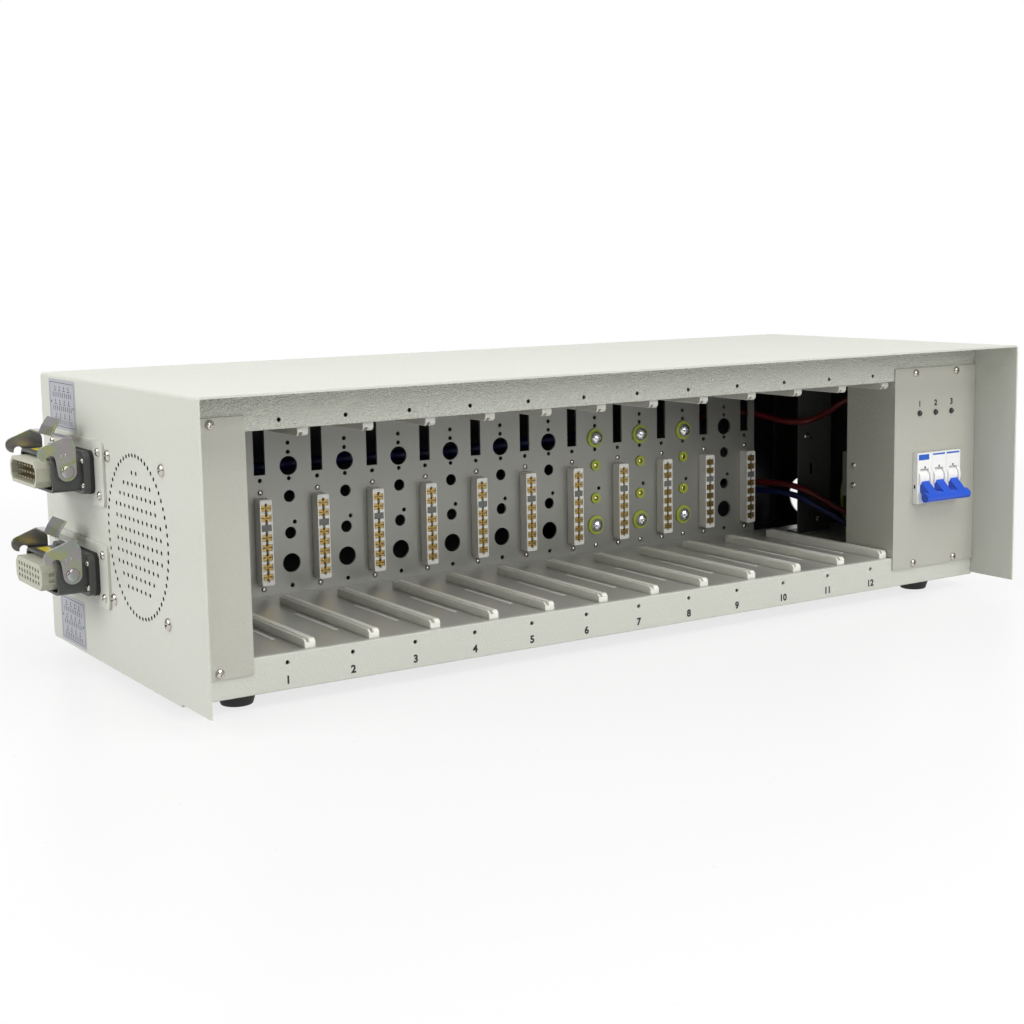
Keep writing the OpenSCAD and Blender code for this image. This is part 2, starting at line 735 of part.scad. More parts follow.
// Rail over the bay's mouth
module front_rail() color(cream) place() difference() {
    drawn_x(-wall_x + fit, wall_x - fit) folded([
        [lip_d, ceil_z + sheet / 2], [sheet / 2, ceil_z + sheet / 2],
        [sheet / 2, under_z - sheet / 2], [rail_d, under_z - sheet / 2]], sheet);
    row_holes(row_zs[1], sheet + 1);
    bend_relief();
}

// Floor of the bay: a channel that stands on the base sheet
module module_floor() color(grey) place() difference() {
    front = lip_d + fit + sheet / 2;
    back = bay_d - sheet / 2;
    half = wall_x - 2 * fit - base_t;
    drawn_x(-half, half) folded([[front, cover_z], [front, floor_z - sheet / 2],
        [back, floor_z - sheet / 2], [back, cover_z]], sheet);
    for (i = [0:slot_count - 1])
        block(slot_x(i) + vent_off - vent_w / 2, slot_x(i) + vent_off + vent_w / 2, vent_y, vent_y + vent_l,
            floor_z - sheet - 1, floor_z + 1);
    screw_room(row_zs[0]);
}

// Ceiling of the bay: the same channel hung under the cover
module module_ceiling() color(grey) place() difference() {
    front = lip_d + fit + sheet / 2;
    back = bay_d - sheet / 2;
    drawn_x(-wall_x + fit, wall_x - fit) folded([[front, under_z - sheet], [front, ceil_z + sheet / 2],
        [back, ceil_z + sheet / 2], [back, under_z]], sheet);
    screw_room(row_zs[1]);
    bend_relief();
}

// Guide bars, bevelled at the front
module guide_bars(z, up) for (i = [0:slot_count - 1]) {
    x = slot_x(i) + guide_off - guide_w / 2;
    difference() {
        drawn_x(x, x + guide_w) translate([guide_y, z]) polygon([[0, 0], [guide_l, 0],
            [guide_l, up * guide_h], [guide_bevel, up * guide_h], [0, up * (guide_h - guide_bevel)]]);
        card_groove(card_x(i), [z + up * (guide_h - guide_groove), z + up * (guide_h + 1)]);
    }
}
module card_groove(x, ends) block(x - card_t / 2 - groove_fit, x + card_t / 2 + groove_fit,
    guide_y - 1, guide_y + guide_l + 1, min(ends), max(ends));
module lower_guides() color(ivory) place() guide_bars(floor_z, 1);
module upper_guides() color(ivory) place() guide_bars(ceil_z, -1);

// Backplane with a connector cut-out, an air slot and a column of holes for each slot
module backplane() color(grey) place() difference() {
    block(bay_x0 - plane_lap, bay_x1 + plane_lap, bay_d, plane_back, cover_z, ceil_z + plane_over);
    for (i = [0:slot_count - 1]) {
        y0 = bay_d - 1;
        y1 = plane_back + 1;
        x = card_x(i);
        c = column_x(i);
        block(x - conn_w / 2 - fit, x + conn_w / 2 + fit, y0, y1,
            conn_z - conn_h / 2 - fit, conn_z + conn_h / 2 + fit);
        block(x - air_slot_w / 2, x + air_slot_w / 2, y0, y1, floor_z + air_slot_up, ceil_z - air_slot_gap);
        rod_y(small_hole_d, x, y0, y1, floor_z + small_ups[2]);
        for (s = [-1, 1]) rod_y(small_shank_d + hole_fit, x, y0, y1, conn_z + s * conn_span / 2);
        for (up = small_ups) rod_y(small_hole_d, c, y0, y1, floor_z + up);
        for (up = mid_ups) rod_y(mid_hole_d, c, y0, y1, floor_z + up);
        for (up = big_ups) rod_y(big_hole_d, c, y0, y1, floor_z + up);
        rod_y(small_hole_d, c + odd_hole[0], y0, y1, floor_z + odd_hole[1]);
    }
}

// Flat back of the case
module rear_panel() color(cream) place() difference() {
    block(-wall_x + fit, wall_x - fit, case_d - sheet, case_d, base_z, under_z);
    for (x = rear_screw_xs(), z = [cover_z + fold_h / 2, under_z - fold_h / 2])
        rod_y(case_shank_d + hole_fit, x, case_d - sheet - 1, case_d + 1, z);
    bend_relief();
}

// A front panel with a fold back along each side
module channel_panel(x0, x1, depth) {
    block(x0, x1, -sheet, 0, floor_z - panel_lap, ceil_z + panel_lap);
    for (x = [x0, x1 - sheet]) block(x, x + sheet, -sheet, depth, floor_z + fold_gap, ceil_z - fold_gap);
}
module panel_holes(xs) for (x = xs, z = row_zs) rod_y(panel_shank_d + hole_fit, x, -sheet - 1, 1, z);

// Blank panel left of the first slot
module left_panel() color(cream) place() difference() {
    channel_panel(-wall_x + fit, bay_x0 - fit, blank_fold);
    panel_holes([panel_xs()[0]]);
}

// Power panel: a box front with windows for the breaker and the lamps
module power_panel() color(cream) place() difference() {
    channel_panel(box_x0, box_x1, box_fold);
    panel_holes([panel_xs()[1], panel_xs()[2]]);
    block(power_x - breaker_w / 2 - fit, power_x + breaker_w / 2 + fit, -sheet - 1, 1,
        breaker_z - nose_h / 2 - fit, breaker_z + nose_h / 2 + fit);
    for (k = [-1:1]) rod_y(lamp_d + hole_fit, power_x + k * lamp_pitch, -sheet - 1, 1, floor_z + lamp_up);
    for (s = [-1, 1]) bracket_holes(s);
}
module bracket_holes(s) rod_x(panel_shank_d + hole_fit, box_x0 - 1, box_x1 + 1,
    box_fold - ear_screw, breaker_z + s * ear_screw);

// Card-edge connector: a pocket for each contact along one card slot, and ears behind the backplane
module slot_connector(i) color(ivory) place() difference() {
    x = card_x(i);
    union() {
        drawn_y(conn_y, plane_back + conn_rear) translate([x, conn_z]) round_rect(conn_w, conn_h, conn_r);
        block(x - conn_w / 2, x + conn_w / 2, plane_back, plane_back + ear_t,
            conn_z - conn_span / 2 - ear_over, conn_z + conn_span / 2 + ear_over);
    }
    block(x - card_t / 2 - fit, x + card_t / 2 + fit, conn_y - 1, conn_y + card_slot_d,
        contact_z(contact_count - 1) - contact_pitch / 2, contact_z(0) + contact_pitch / 2);
    for (k = [0:contact_count - 1])
        translate([x, 0, contact_z(k)]) block(-contact_w / 2 - contact_fit, contact_w / 2 + contact_fit,
            conn_y - 1, conn_y + pocket_d, -contact_h / 2 - contact_fit, contact_h / 2 + contact_fit);
    for (s = [-1, 1]) rod_y(small_shank_d + hole_fit, x, plane_back - 1, plane_back + ear_t + 1,
        conn_z + s * conn_span / 2);
}

// Forked contacts, one in every pocket but the keyed one
module slot_contacts() color("gold") place()
    for (i = [0:slot_count - 1], k = [0:contact_count - 1]) if (k != key_place - 1)
        translate([card_x(i), conn_y, contact_z(k)]) difference() {
            block(-contact_w / 2, contact_w / 2, contact_in, pocket_d, -contact_h / 2, contact_h / 2);
            block(-card_t / 2 - key_fit, card_t / 2 + key_fit, 0, fork_d, -contact_h, contact_h);
            block(-contact_w, contact_w, 0, prong_d, -prong_gap / 2, prong_gap / 2);
        }

// Polarising keys across the card slots
module slot_keys() color([0.45, 0.46, 0.44]) place() for (i = [0:slot_count - 1])
    translate([card_x(i), conn_y, contact_z(key_place - 1)])
        block(-contact_w / 2, contact_w / 2, contact_in, pocket_d, -contact_h / 2, contact_h / 2);

// Screws of the slot connectors and at the foot of the bus columns
module slot_screws() color(nickel) place() {
    for (i = [0:slot_count - 1], s = [-1, 1]) screw_y(card_x(i), bay_d, conn_z + s * conn_span / 2,
        small_head_d, head_h_small, small_shank_d, plane_t + ear_t + screw_over);
    for (i = bus_slots()) screw_y(column_x(i), bay_d, floor_z + small_ups[3],
        small_head_d, head_h_small, small_shank_d, plane_t + screw_over);
}

// Bus bars behind the backplane, carried by insulated bushes
module bus_bars() color([0.72, 0.45, 0.25]) place() for (i = bus_slots()) difference() {
    block(column_x(i) - bus_w / 2, column_x(i) + bus_w / 2, bus_y, bus_y + bus_t,
        floor_z + big_ups[1] - bus_w / 2, floor_z + big_ups[0] + bus_w);
    x = column_x(i);
    for (up = big_ups) rod_y(bus_bolt_d + hole_fit, x, bus_y - 1, bus_y + bus_t + 1, floor_z + up);
    for (up = mid_ups) rod_y(bus_pin_d + hole_fit, x, bus_y - 1, bus_y + bus_t + 1, floor_z + up);
}
module bush(x, z, hole_d, bore_d, rim = 0) difference() {
    union() {
        if (rim > 0) rod_y(hole_d + 2 * rim, x, bay_d - bush_flange, bay_d, z);
        rod_y(hole_d - fit, x, bay_d - bush_flange, bus_y, z);
    }
    rod_y(bore_d + hole_fit, x, bay_d - bush_flange - 1, bus_y + 1, z);
}
module bus_bushings() color([0.62, 0.72, 0.15]) place() for (i = bus_slots()) {
    for (up = big_ups) bush(column_x(i), floor_z + up, big_hole_d, bus_bolt_d, bush_rim);
    for (up = mid_ups) bush(column_x(i), floor_z + up, mid_hole_d, bus_pin_d);
}
module bus_bolts() color(nickel) place() for (i = bus_slots(), up = big_ups)
    screw_y(column_x(i), bay_d - bush_flange, floor_z + up, bus_head_d, bus_head_h,
        bus_bolt_d, bush_flange + plane_t + bush_l + bus_t + bolt_over);
module bus_pins() color([0.80, 0.65, 0.30]) place() for (i = bus_slots(), up = mid_ups)
    rod_y(bus_pin_d, column_x(i), bay_d - bush_flange + bus_pin_in, bus_y + bus_t + bolt_over, floor_z + up);

// Upright bracket for the wiring between floor and ceiling
module wiring_bracket() color(grey) place() difference() {
    y = bracket_y + sheet / 2;
    drawn_x(bracket_x - bracket_w / 2, bracket_x + bracket_w / 2) folded([
        [y + bracket_fold, floor_z + sheet / 2], [y, floor_z + sheet / 2],
        [y, ceil_z - sheet / 2], [y + bracket_fold, ceil_z - sheet / 2]], sheet);
    translate([bracket_x, bracket_y, floor_z]) {
        translate([bracket_slot_at[0], sheet / 2, bracket_slot_at[1]])
            cube([bracket_slot[0], sheet + 2, bracket_slot[1]], center = true);
        for (p = bracket_hole_pts) rod_y(panel_shank_d, p[0], -1, sheet + 1, p[1]);
        for (p = bracket_screw_pts) rod_y(panel_shank_d + hole_fit, p[0], -1, sheet + 1, p[1]);
    }
}

// Leads between the bus bars and the breaker, and the loom from the upper connector
module lead(bus, up, pts, k, s) {
    tube(route(concat(stud_pts(bus, up), lead_pts(pts), terminal_pts(k, s)), 2), lead_d);
}
module red_lead_upper() color(lead_red) place() lead(slot_count - 2, big_ups[0], red_upper_pts, 1, 1);
module red_lead_lower() color(lead_red) place() lead(slot_count - 3, big_ups[1], red_lower_pts, 0, -1);
module blue_lead_lower() color(lead_blue) place() lead(slot_count - 4, big_ups[1], blue_lower_pts, -1, -1);
module earth_lead() color([0.50, 0.62, 0.12]) place() {
    foot = lead_pts(earth_pts)[0];
    start = [for (up = [fit, lead_d]) [foot[0] + 2, foot[1], floor_z + up]];
    end = [for (d = [2.3 * lead_d, lead_d, fit])
        [power_x + panel_screw_x, holder_back + d, breaker_z + ear_screw]];
    tube(route(concat(start, lead_pts(earth_pts), end), 2), earth_d, [1, 0, 0]);
}
module blue_loom() color(lead_blue) place() {
    start = [for (k = [0, 0.4, 0.9]) [insert_in - case_w / 2 + k * loom_d, side_y, side_z(1)]];
    turn = [bay_x0 - plane_lap - 1.3 * loom_d, max(side_y, plane_back) + 4, side_z(1) - 2];
    stud = stud_pts(slot_count - 4, big_ups[0]);
    tube(route(concat(start, [turn], lead_pts(loom_pts), [stud[2], stud[1], stud[0]]), 2), loom_d);
}

// Square fan frame with a motor boss on four struts
module fan_frame() color(black) place() {
    back = -wall_x + fan_t;
    strut_x = back - fan_strut[0];
    difference() {
        union() {
            difference() {
                drawn_x(-wall_x, back) translate([fan_y, fan_z])
                    round_rect(fan_size, fan_size, fan_corner_r);
                rod_x(fan_bore, -wall_x - 1, back + 1, fan_y, fan_z);
            }
            rod_x(fan_hub_d, strut_x, back, fan_y, fan_z);
            rod_x(fan_boss_d, -wall_x + fan_boss_in, back, fan_y, fan_z);
            for (a = [0:90:270]) translate([strut_x, fan_y, fan_z]) rotate([a, 0, 0])
                block(0, fan_strut[0], fan_boss_d / 2, (fan_bore + fan_rim) / 2,
                    -fan_strut[1] / 2, fan_strut[1] / 2);
        }
        rod_x(fan_shaft_d + 2 * run_fit, -wall_x + fan_boss_in - 1, strut_x + 1, fan_y, fan_z);
        fan_holes(wall_x);
    }
}

// Fan rotor: cup, shaft and twisted blades
module fan_rotor() color(black) place() translate([-wall_x + rotor_in, fan_y, fan_z]) rotate([0, 90, 0]) {
    difference() {
        cylinder(d = fan_hub_d, h = rotor_d);
        translate([0, 0, cup_wall]) cylinder(d = fan_hub_d - 2 * cup_wall, h = rotor_d);
    }
    cylinder(d = fan_shaft_d, h = fan_t - fan_strut[0] - rotor_in);
    for (k = [0:fan_blades - 1]) rotate(360 * k / fan_blades)
        linear_extrude(rotor_d - 1, twist = fan_twist, slices = 6)
            translate([fan_hub_d / 2 - 1, -blade_t / 2])
                square([(fan_bore - fan_hub_d) / 2 + 1 - blade_gap, blade_t]);
}

// Adaptor plate over a connector's hole in the case
module adaptor_plate(s) color(cream) place() at_side(s) linear_extrude(plate_t) difference() {
    round_rect(plate_h, plate_l, plate_r);
    insert_passage();
    plate_spots() circle(d = panel_shank_d + hole_fit);
    flange_spots() circle(d = small_shank_d + hole_fit);
}
module insert_passage() round_rect(insert_h + 2 * insert_fit, insert_l + 2 * insert_fit, passage_r);
module upper_plate() adaptor_plate(1);
module lower_plate() adaptor_plate(-1);

// Rubber gasket between plate and housing
module gasket(s) color(black) place() at_side(s) translate([0, 0, gasket_u])
    linear_extrude(gasket_t) difference() {
        round_rect(flange_h + 2 * fit, flange_l + 2 * fit, flange_r);
        insert_passage();
        flange_spots() circle(d = small_shank_d + hole_fit);
    }
module upper_gasket() gasket(1);
module lower_gasket() gasket(-1);

// Die-cast housing: flange, shell open outwards, and a riveted lever pivot at each end
module housing(s) color([0.23, 0.24, 0.23]) place() at_side(s) difference() {
    union() {
        translate([0, 0, shell_u]) linear_extrude(flange_t) round_rect(flange_h, flange_l, flange_r);
        translate([0, 0, shell_u]) linear_extrude(shell_d) round_rect(shell_h, shell_l, shell_r);
        for (e = [-1, 1]) translate([pivot_up, 0, pivot_out]) rotate([e * -90, 0, 0]) {
            cylinder(r = lever_r + boss_t, h = shell_l / 2 + boss_t);
            cylinder(d = pivot_d, h = rivet_y + rivet_t / 2);
            translate([0, 0, rivet_y]) cylinder(d = pivot_d + rivet_over, h = rivet_t);
        }
    }
    translate([0, 0, seat_u]) linear_extrude(shell_d) shell_inside(0);
    translate([0, 0, shell_u - 1]) linear_extrude(shell_d) insert_passage();
    translate([0, 0, shell_u - 1]) linear_extrude(flange_t + 2)
        flange_spots() circle(d = small_shank_d + hole_fit);
}
module shell_inside(gap) let (w = shell_wall + gap)
    round_rect(shell_h - 2 * w, shell_l - 2 * w, shell_r - w);
module upper_housing() housing(1);
module lower_housing() housing(-1);

// Insulating insert with a fixing collar on the floor of the shell and a tab at its far end
module bevelled(w, h, b) polygon([for (s = [[1, 1], [-1, 1], [-1, -1], [1, -1]], k = [0, 1])
    let (first = k == (s[0] * s[1] > 0 ? 0 : 1))
    [s[0] * (w / 2 - (first ? 0 : b)), s[1] * (h / 2 - (first ? b : 0))]]);
module insert_body() {
    translate([0, 0, -insert_in]) linear_extrude(insert_u + insert_in)
        bevelled(insert_h, insert_l, insert_bevel);
    translate([0, 0, seat_u]) linear_extrude(collar_t) shell_inside(fit);
    translate([-insert_tab, insert_l / 2 - 1, mouth_u + insert_tab])
        cube([2 * insert_tab, insert_tab + 1, insert_out - insert_tab - 1]);
}
module pin_spots() for (c = [0:pin_cols - 1], r = [0:pin_rows - 1])
    translate([(r - (pin_rows - 1) / 2) * row_step, (c - (pin_cols - 1) / 2) * pin_step]) children();
module upper_insert() color(ivory) place() at_side(1) difference() {
    insert_body();
    translate([0, 0, pocket_u]) linear_extrude(2 * pocket_depth)
        bevelled(insert_h - 2 * insert_wall, insert_l - 2 * insert_wall, insert_bevel - insert_wall / 2);
    translate([0, 0, pocket_u - pin_sunk]) linear_extrude(pin_l) pin_spots() circle(d = pin_d + key_fit);
}
module upper_pins() color([0.80, 0.68, 0.38]) place() at_side(1)
    translate([0, 0, pocket_u - pin_sunk]) linear_extrude(pin_l) pin_spots() circle(d = pin_d);
module lower_insert() color(ivory) place() at_side(-1) difference() {
    insert_body();
    translate([0, 0, insert_u - socket_depth]) linear_extrude(2 * socket_depth)
        pin_spots() circle(d = socket_d);
    for (x = [-1, 1]) translate([x * row_step / 2, -insert_l / 2, mouth_u + 1])
        block(-insert_window[0] / 2, insert_window[0] / 2, -1, insert_window[1], 0, insert_window[2]);
}

// Locking lever: two hooked cheeks, a bridge between them and a thumb tab
module lever(s) color([0.62, 0.63, 0.55]) place() at_side(s) difference() {
    edge_y = cheek_y + lever_t;
    union() {
        for (y = [-edge_y, cheek_y]) drawn_y(y, y + lever_t) difference() {
            union() {
                link(pivot, lever_r, elbow, elbow_r);
                link(elbow, elbow_r, hook, hook_r);
            }
            translate(pivot + notch_at) circle(notch_r);
        }
        drawn_y(-edge_y, edge_y) folded([pivot + crown_at, pivot + tab_foot_at], lever_t);
        drawn_y(-tab_w / 2, tab_w / 2)
            folded([pivot + tab_foot_at, pivot + tab_bend_at, pivot + tab_tip_at], lever_t);
    }
    translate([pivot_up, 0, pivot_out]) rotate([90, 0, 0])
        cylinder(d = pivot_d + 2 * run_fit, h = 2 * edge_y + 2, center = true);
}
module upper_lever() lever(1);
module lower_lever() lever(-1);

// Screws of the adaptor plates and of the housings' flanges
module plate_screws() color(nickel) place() for (s = [-1, 1]) at_side(s) plate_spots()
    translate([0, 0, plate_t])
        screw(panel_head_d, head_h_panel, panel_shank_d, plate_t + sheet + screw_over);
module flange_screws() color(nickel) place() for (s = [-1, 1]) at_side(s) flange_spots()
    translate([0, 0, shell_u + flange_t])
        screw(small_head_d, head_h_small, small_shank_d, flange_t + gasket_t + plate_t);

// Breaker body: a stepped profile with a window for the handle in each pole
module breaker_body() color("whitesmoke") place() difference() {
    x0 = power_x - breaker_w / 2;
    step = fit;
    groove = rail_h / 2 + rail_fit;
    groove_y = breaker_back - rail_t - 2 * rail_fit;
    union() {
        drawn_x(x0, x0 + breaker_w) translate([0, breaker_z]) polygon([
            [nose_y, -nose_h / 2], [nose_y, nose_h / 2], [step, nose_h / 2], [step, breaker_h / 2],
            [breaker_back, breaker_h / 2], [breaker_back, groove], [groove_y, groove],
            [groove_y, -groove], [breaker_back, -groove], [breaker_back, -breaker_h / 2],
            [step, -breaker_h / 2], [step, -nose_h / 2]]);
        for (k = [0:pole_count - 1], s = [-1, 1])
            translate([pole_x(k) + s * (stem_w / 2 + fit + guard_t / 2), toggle_y, breaker_z])
                rotate([0, 90, 0]) cylinder(r = toggle_in + guard_out, h = guard_t, center = true);
    }
    for (k = [0:pole_count - 1]) {
        x = pole_x(k);
        half = stem_w / 2 + fit;
        rod_x(2 * (drum_r + fit), x - half, x + half, toggle_y, breaker_z);
        block(x - half, x + half, nose_y - guard_out - 1, toggle_y, breaker_z - window_low,
            breaker_z + window_top);
        for (s = [-1, 1]) rod_z(lead_d + 2 * fit, x, terminal_y,
            breaker_z + s * breaker_h / 2 - terminal_l, breaker_z + s * breaker_h / 2 + terminal_l);
    }
    for (k = [1:1:pole_count - 1])
        block(x0 + k * pole_w - seam[0] / 2, x0 + k * pole_w + seam[0] / 2, nose_y - 1, nose_y + seam[1],
            breaker_z - nose_h, breaker_z + nose_h);
    rod_x(axle_d + 2 * run_fit, x0 + axle_in, x0 + breaker_w - axle_in, toggle_y, breaker_z);
}

// Handle: a stem in each pole, keyed into the drums, and a bar across all poles
module stem_section(gap) difference() {
    link([toggle_y, breaker_z], stem_r + gap, [bar_y, bar_z], bar_r + gap);
    translate([toggle_y, breaker_z]) circle(stem_root - gap);
}
module breaker_handle() color([0.10, 0.25, 0.80]) place() {
    x0 = power_x - breaker_w / 2;
    for (k = [0:pole_count - 1])
        drawn_x(pole_x(k) - stem_w / 2, pole_x(k) + stem_w / 2) stem_section(0);
    drawn_x(x0, x0 + breaker_w)
        link([bar_y, bar_z] + bar_r * [0.4, 0.65], bar_r * 0.55, [bar_y, bar_z], bar_r);
}

// Axle with a drum that closes the window in each pole
module breaker_drums() color("whitesmoke") place() difference() {
    x0 = power_x - breaker_w / 2;
    union() {
        rod_x(axle_d, x0 + axle_in + fit, x0 + breaker_w - axle_in - fit, toggle_y, breaker_z);
        for (k = [0:pole_count - 1])
            rod_x(2 * drum_r, pole_x(k) - stem_w / 2, pole_x(k) + stem_w / 2, toggle_y, breaker_z);
    }
    drawn_x(x0, x0 + breaker_w) stem_section(key_fit);
}

// Top-hat rail behind the breaker and the bracket that holds it in the power box
module breaker_rail() color(nickel) place() {
    brim_y = breaker_back - rail_t / 2 - rail_fit;
    end = 2 * sheet + fit;
    top = rail_h / 2;
    step = top - rail_brim;
    drawn_x(box_x0 + end, box_x1 - end) translate([brim_y, breaker_z]) folded([[0, top], [0, step],
        [rail_depth, step], [rail_depth, -step], [0, -step], [0, -top]], rail_t);
}
module breaker_bracket() color(grey) place() difference() {
    xs = [box_x0 + 1.5 * sheet, box_x1 - 1.5 * sheet];
    back = holder_back - sheet / 2;
    front = box_fold - holder_ear;
    translate([0, 0, breaker_z - holder_h / 2]) linear_extrude(holder_h)
        folded([[xs[0], front], [xs[0], back], [xs[1], back], [xs[1], front]], sheet);
    for (s = [-1, 1]) bracket_holes(s);
}

// Indicator lamps pushed into the power panel
module indicator_lamps() color([0.35, 0.05, 0.04]) place() for (k = [-1:1])
    translate([power_x + k * lamp_pitch, 0, floor_z + lamp_up]) rotate([-90, 0, 0]) {
        translate([0, 0, -sheet]) sphere(d = lamp_d);
        translate([0, 0, -sheet]) cylinder(d = lamp_d, h = sheet + lamp_l);
        cylinder(d = lamp_d + lamp_collar, h = lamp_collar);
    }

// Screws of the front panels, of the breaker's bracket and of the wiring bracket
module panel_screws() color(nickel) place() {
    for (x = panel_xs(), z = row_zs)
        screw_y(x, -sheet, z, panel_head_d, head_h_panel, panel_shank_d, sheet + base_t);
    for (x = [box_x0, box_x1 - 2 * sheet], s = [-1, 1])
        translate([x, box_fold - ear_screw, breaker_z + s * ear_screw]) rotate([0, -90, 0])
            screw(ear_head_d, head_h_panel, panel_shank_d, 2 * sheet);
    for (p = bracket_screw_pts) screw_y(bracket_x + p[0], bracket_y, floor_z + p[1],
        panel_head_d, head_h_panel, panel_shank_d, sheet + 2 * screw_over);
}

// Screws of the rear panel, of the feet and of the fan
module case_screws() color(nickel) place() {
    for (x = rear_screw_xs(), z = [cover_z + fold_h / 2, under_z - fold_h / 2])
        translate([x, case_d, z]) rotate([-90, 0, 0])
            screw(case_head_d, head_h_case, case_shank_d, sheet + base_t + screw_over);
    foot_places() translate([0, 0, base_z - foot_web]) rotate([180, 0, 0])
        screw(case_head_d, head_h_case, case_shank_d, base_t + foot_web);
    for (y = [-1, 1], z = [-1, 1])
        translate([-case_w / 2, fan_y + y * fan_pitch / 2, fan_z + z * fan_pitch / 2]) rotate([0, -90, 0])
            screw(case_head_d, head_h_case, case_shank_d, sheet + fan_screw_l);
}

// Tapered rubber feet, counterbored from below
module feet() color(black) place() foot_places() difference() {
    cylinder(d1 = foot_low_d, d2 = foot_top_d, h = base_z);
    rod_z(case_shank_d + hole_fit, 0, 0, -1, base_z + 1);
    rod_z(case_head_d + 2, 0, 0, -1, base_z - foot_web);
}

cover();
base_tray();
front_rail();
module_floor();
module_ceiling();
backplane();
rear_panel();
left_panel();
power_panel();
lower_guides();
upper_guides();
for (i = [0:slot_count - 1]) slot_connector(i);
slot_contacts();
slot_keys();
slot_screws();
bus_bars();
bus_bushings();
bus_bolts();
bus_pins();
wiring_bracket();
red_lead_upper();
red_lead_lower();
blue_lead_lower();
earth_lead();
blue_loom();
fan_frame();
fan_rotor();
upper_plate();
upper_gasket();
upper_housing();
upper_insert();
upper_pins();
upper_lever();
lower_plate();
lower_gasket();
lower_housing();
lower_insert();
lower_lever();
plate_screws();
flange_screws();
breaker_body();
breaker_handle();
breaker_drums();
breaker_rail();
breaker_bracket();
indicator_lamps();
panel_screws();
case_screws();
feet();
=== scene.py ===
import json
import math

import bmesh
import bpy
from mathutils import Matrix, Vector


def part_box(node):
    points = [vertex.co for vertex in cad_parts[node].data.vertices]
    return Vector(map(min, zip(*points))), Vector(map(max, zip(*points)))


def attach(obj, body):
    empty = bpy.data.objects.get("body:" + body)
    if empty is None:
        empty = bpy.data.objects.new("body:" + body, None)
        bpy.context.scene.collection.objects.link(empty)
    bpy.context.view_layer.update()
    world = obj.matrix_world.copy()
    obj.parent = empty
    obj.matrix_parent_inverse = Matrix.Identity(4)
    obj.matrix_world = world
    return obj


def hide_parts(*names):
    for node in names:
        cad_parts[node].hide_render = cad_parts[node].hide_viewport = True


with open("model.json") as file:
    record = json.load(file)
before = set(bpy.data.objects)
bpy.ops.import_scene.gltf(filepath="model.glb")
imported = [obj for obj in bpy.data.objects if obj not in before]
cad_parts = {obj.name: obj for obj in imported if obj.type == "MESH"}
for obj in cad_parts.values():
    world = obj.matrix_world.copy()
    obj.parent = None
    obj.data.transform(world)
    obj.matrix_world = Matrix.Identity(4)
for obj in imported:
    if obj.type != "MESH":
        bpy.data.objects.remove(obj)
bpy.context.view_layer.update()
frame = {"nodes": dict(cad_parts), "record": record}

MM = 0.001
X, Y, Z = Vector((1, 0, 0)), Vector((0, 1, 0)), Vector((0, 0, 1))
FLOAT, COLOR, VECTOR = "NodeSocketFloat", "NodeSocketColor", "NodeSocketVector"
RECORD = frame["record"]
SLOT_OF = {entry["node"]: entry["material_slot"] for entry in RECORD["subparts"]}
BODY_OF = {node: body for body, nodes in RECORD["behaviour"]["bodies"].items() for node in nodes}

# Case frame in millimetres: X from the case's middle, Y back from the bezel, Z up from the ground
cover_lo, cover_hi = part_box("cover")
MID_X = (cover_lo.x + cover_hi.x) / 2
BEZEL_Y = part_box("base_tray")[0].y
HALF_W = (cover_hi.x - cover_lo.x) / 2 / MM
CASE_D = (cover_hi.y - BEZEL_Y) / MM
TOP_Z = cover_hi.z / MM
FLOOR_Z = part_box("module_floor")[1].z / MM
SHEET = 1.5


def at(x, y, z):
    """A point of the case frame as a point of the model."""
    return Vector((MID_X + x * MM, BEZEL_Y + y * MM, z * MM))


def middle_of(node):
    """Middle of a node's box, in the case frame."""
    lo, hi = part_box(node)
    return Vector(((lo.x + hi.x) / 2 - MID_X, (lo.y + hi.y) / 2 - BEZEL_Y, (lo.z + hi.z) / 2)) / MM


# Module slots: the card plane lies right of the slot's screw
CARD_OFF = 18.4
SLOTS = sorted(name for name in frame["nodes"] if name.startswith("slot_connector_"))
SLOT_XS = [middle_of(name).x - CARD_OFF for name in SLOTS]


# Shader building blocks
class Nodes:
    """Adds nodes to a tree. An input takes a value or another node's socket."""

    def __init__(self, tree):
        self.tree = tree

    def add(self, kind, inputs=None, **props):
        node = self.tree.nodes.new(kind)
        for key, value in props.items():
            setattr(node, key, value)
        for key, value in (inputs or {}).items():
            if isinstance(value, bpy.types.NodeSocket):
                self.tree.links.new(value, node.inputs[key])
            else:
                node.inputs[key].default_value = value
        return node

    def place(self):
        return self.add("ShaderNodeTexCoord").outputs["Object"]

    def math(self, operation, *values):
        return self.add("ShaderNodeMath", dict(enumerate(values)), operation=operation).outputs[0]

    def ease(self, value, span, ends):
        """Goes smoothly from one end to the other while the value crosses the span."""
        inputs = {"Value": value, "From Min": span[0], "From Max": span[1],
                  "To Min": ends[0], "To Max": ends[1]}
        return self.add("ShaderNodeMapRange", inputs, interpolation_type="SMOOTHSTEP").outputs["Result"]

    def ramp(self, fac, stops):
        node = self.add("ShaderNodeValToRGB", {"Fac": fac})
        while len(node.color_ramp.elements) < len(stops):
            node.color_ramp.elements.new(0.5)
        for element, (spot, color) in zip(node.color_ramp.elements, stops):
            element.position = spot
            element.color = (*color, 1)
        return node.outputs["Color"]


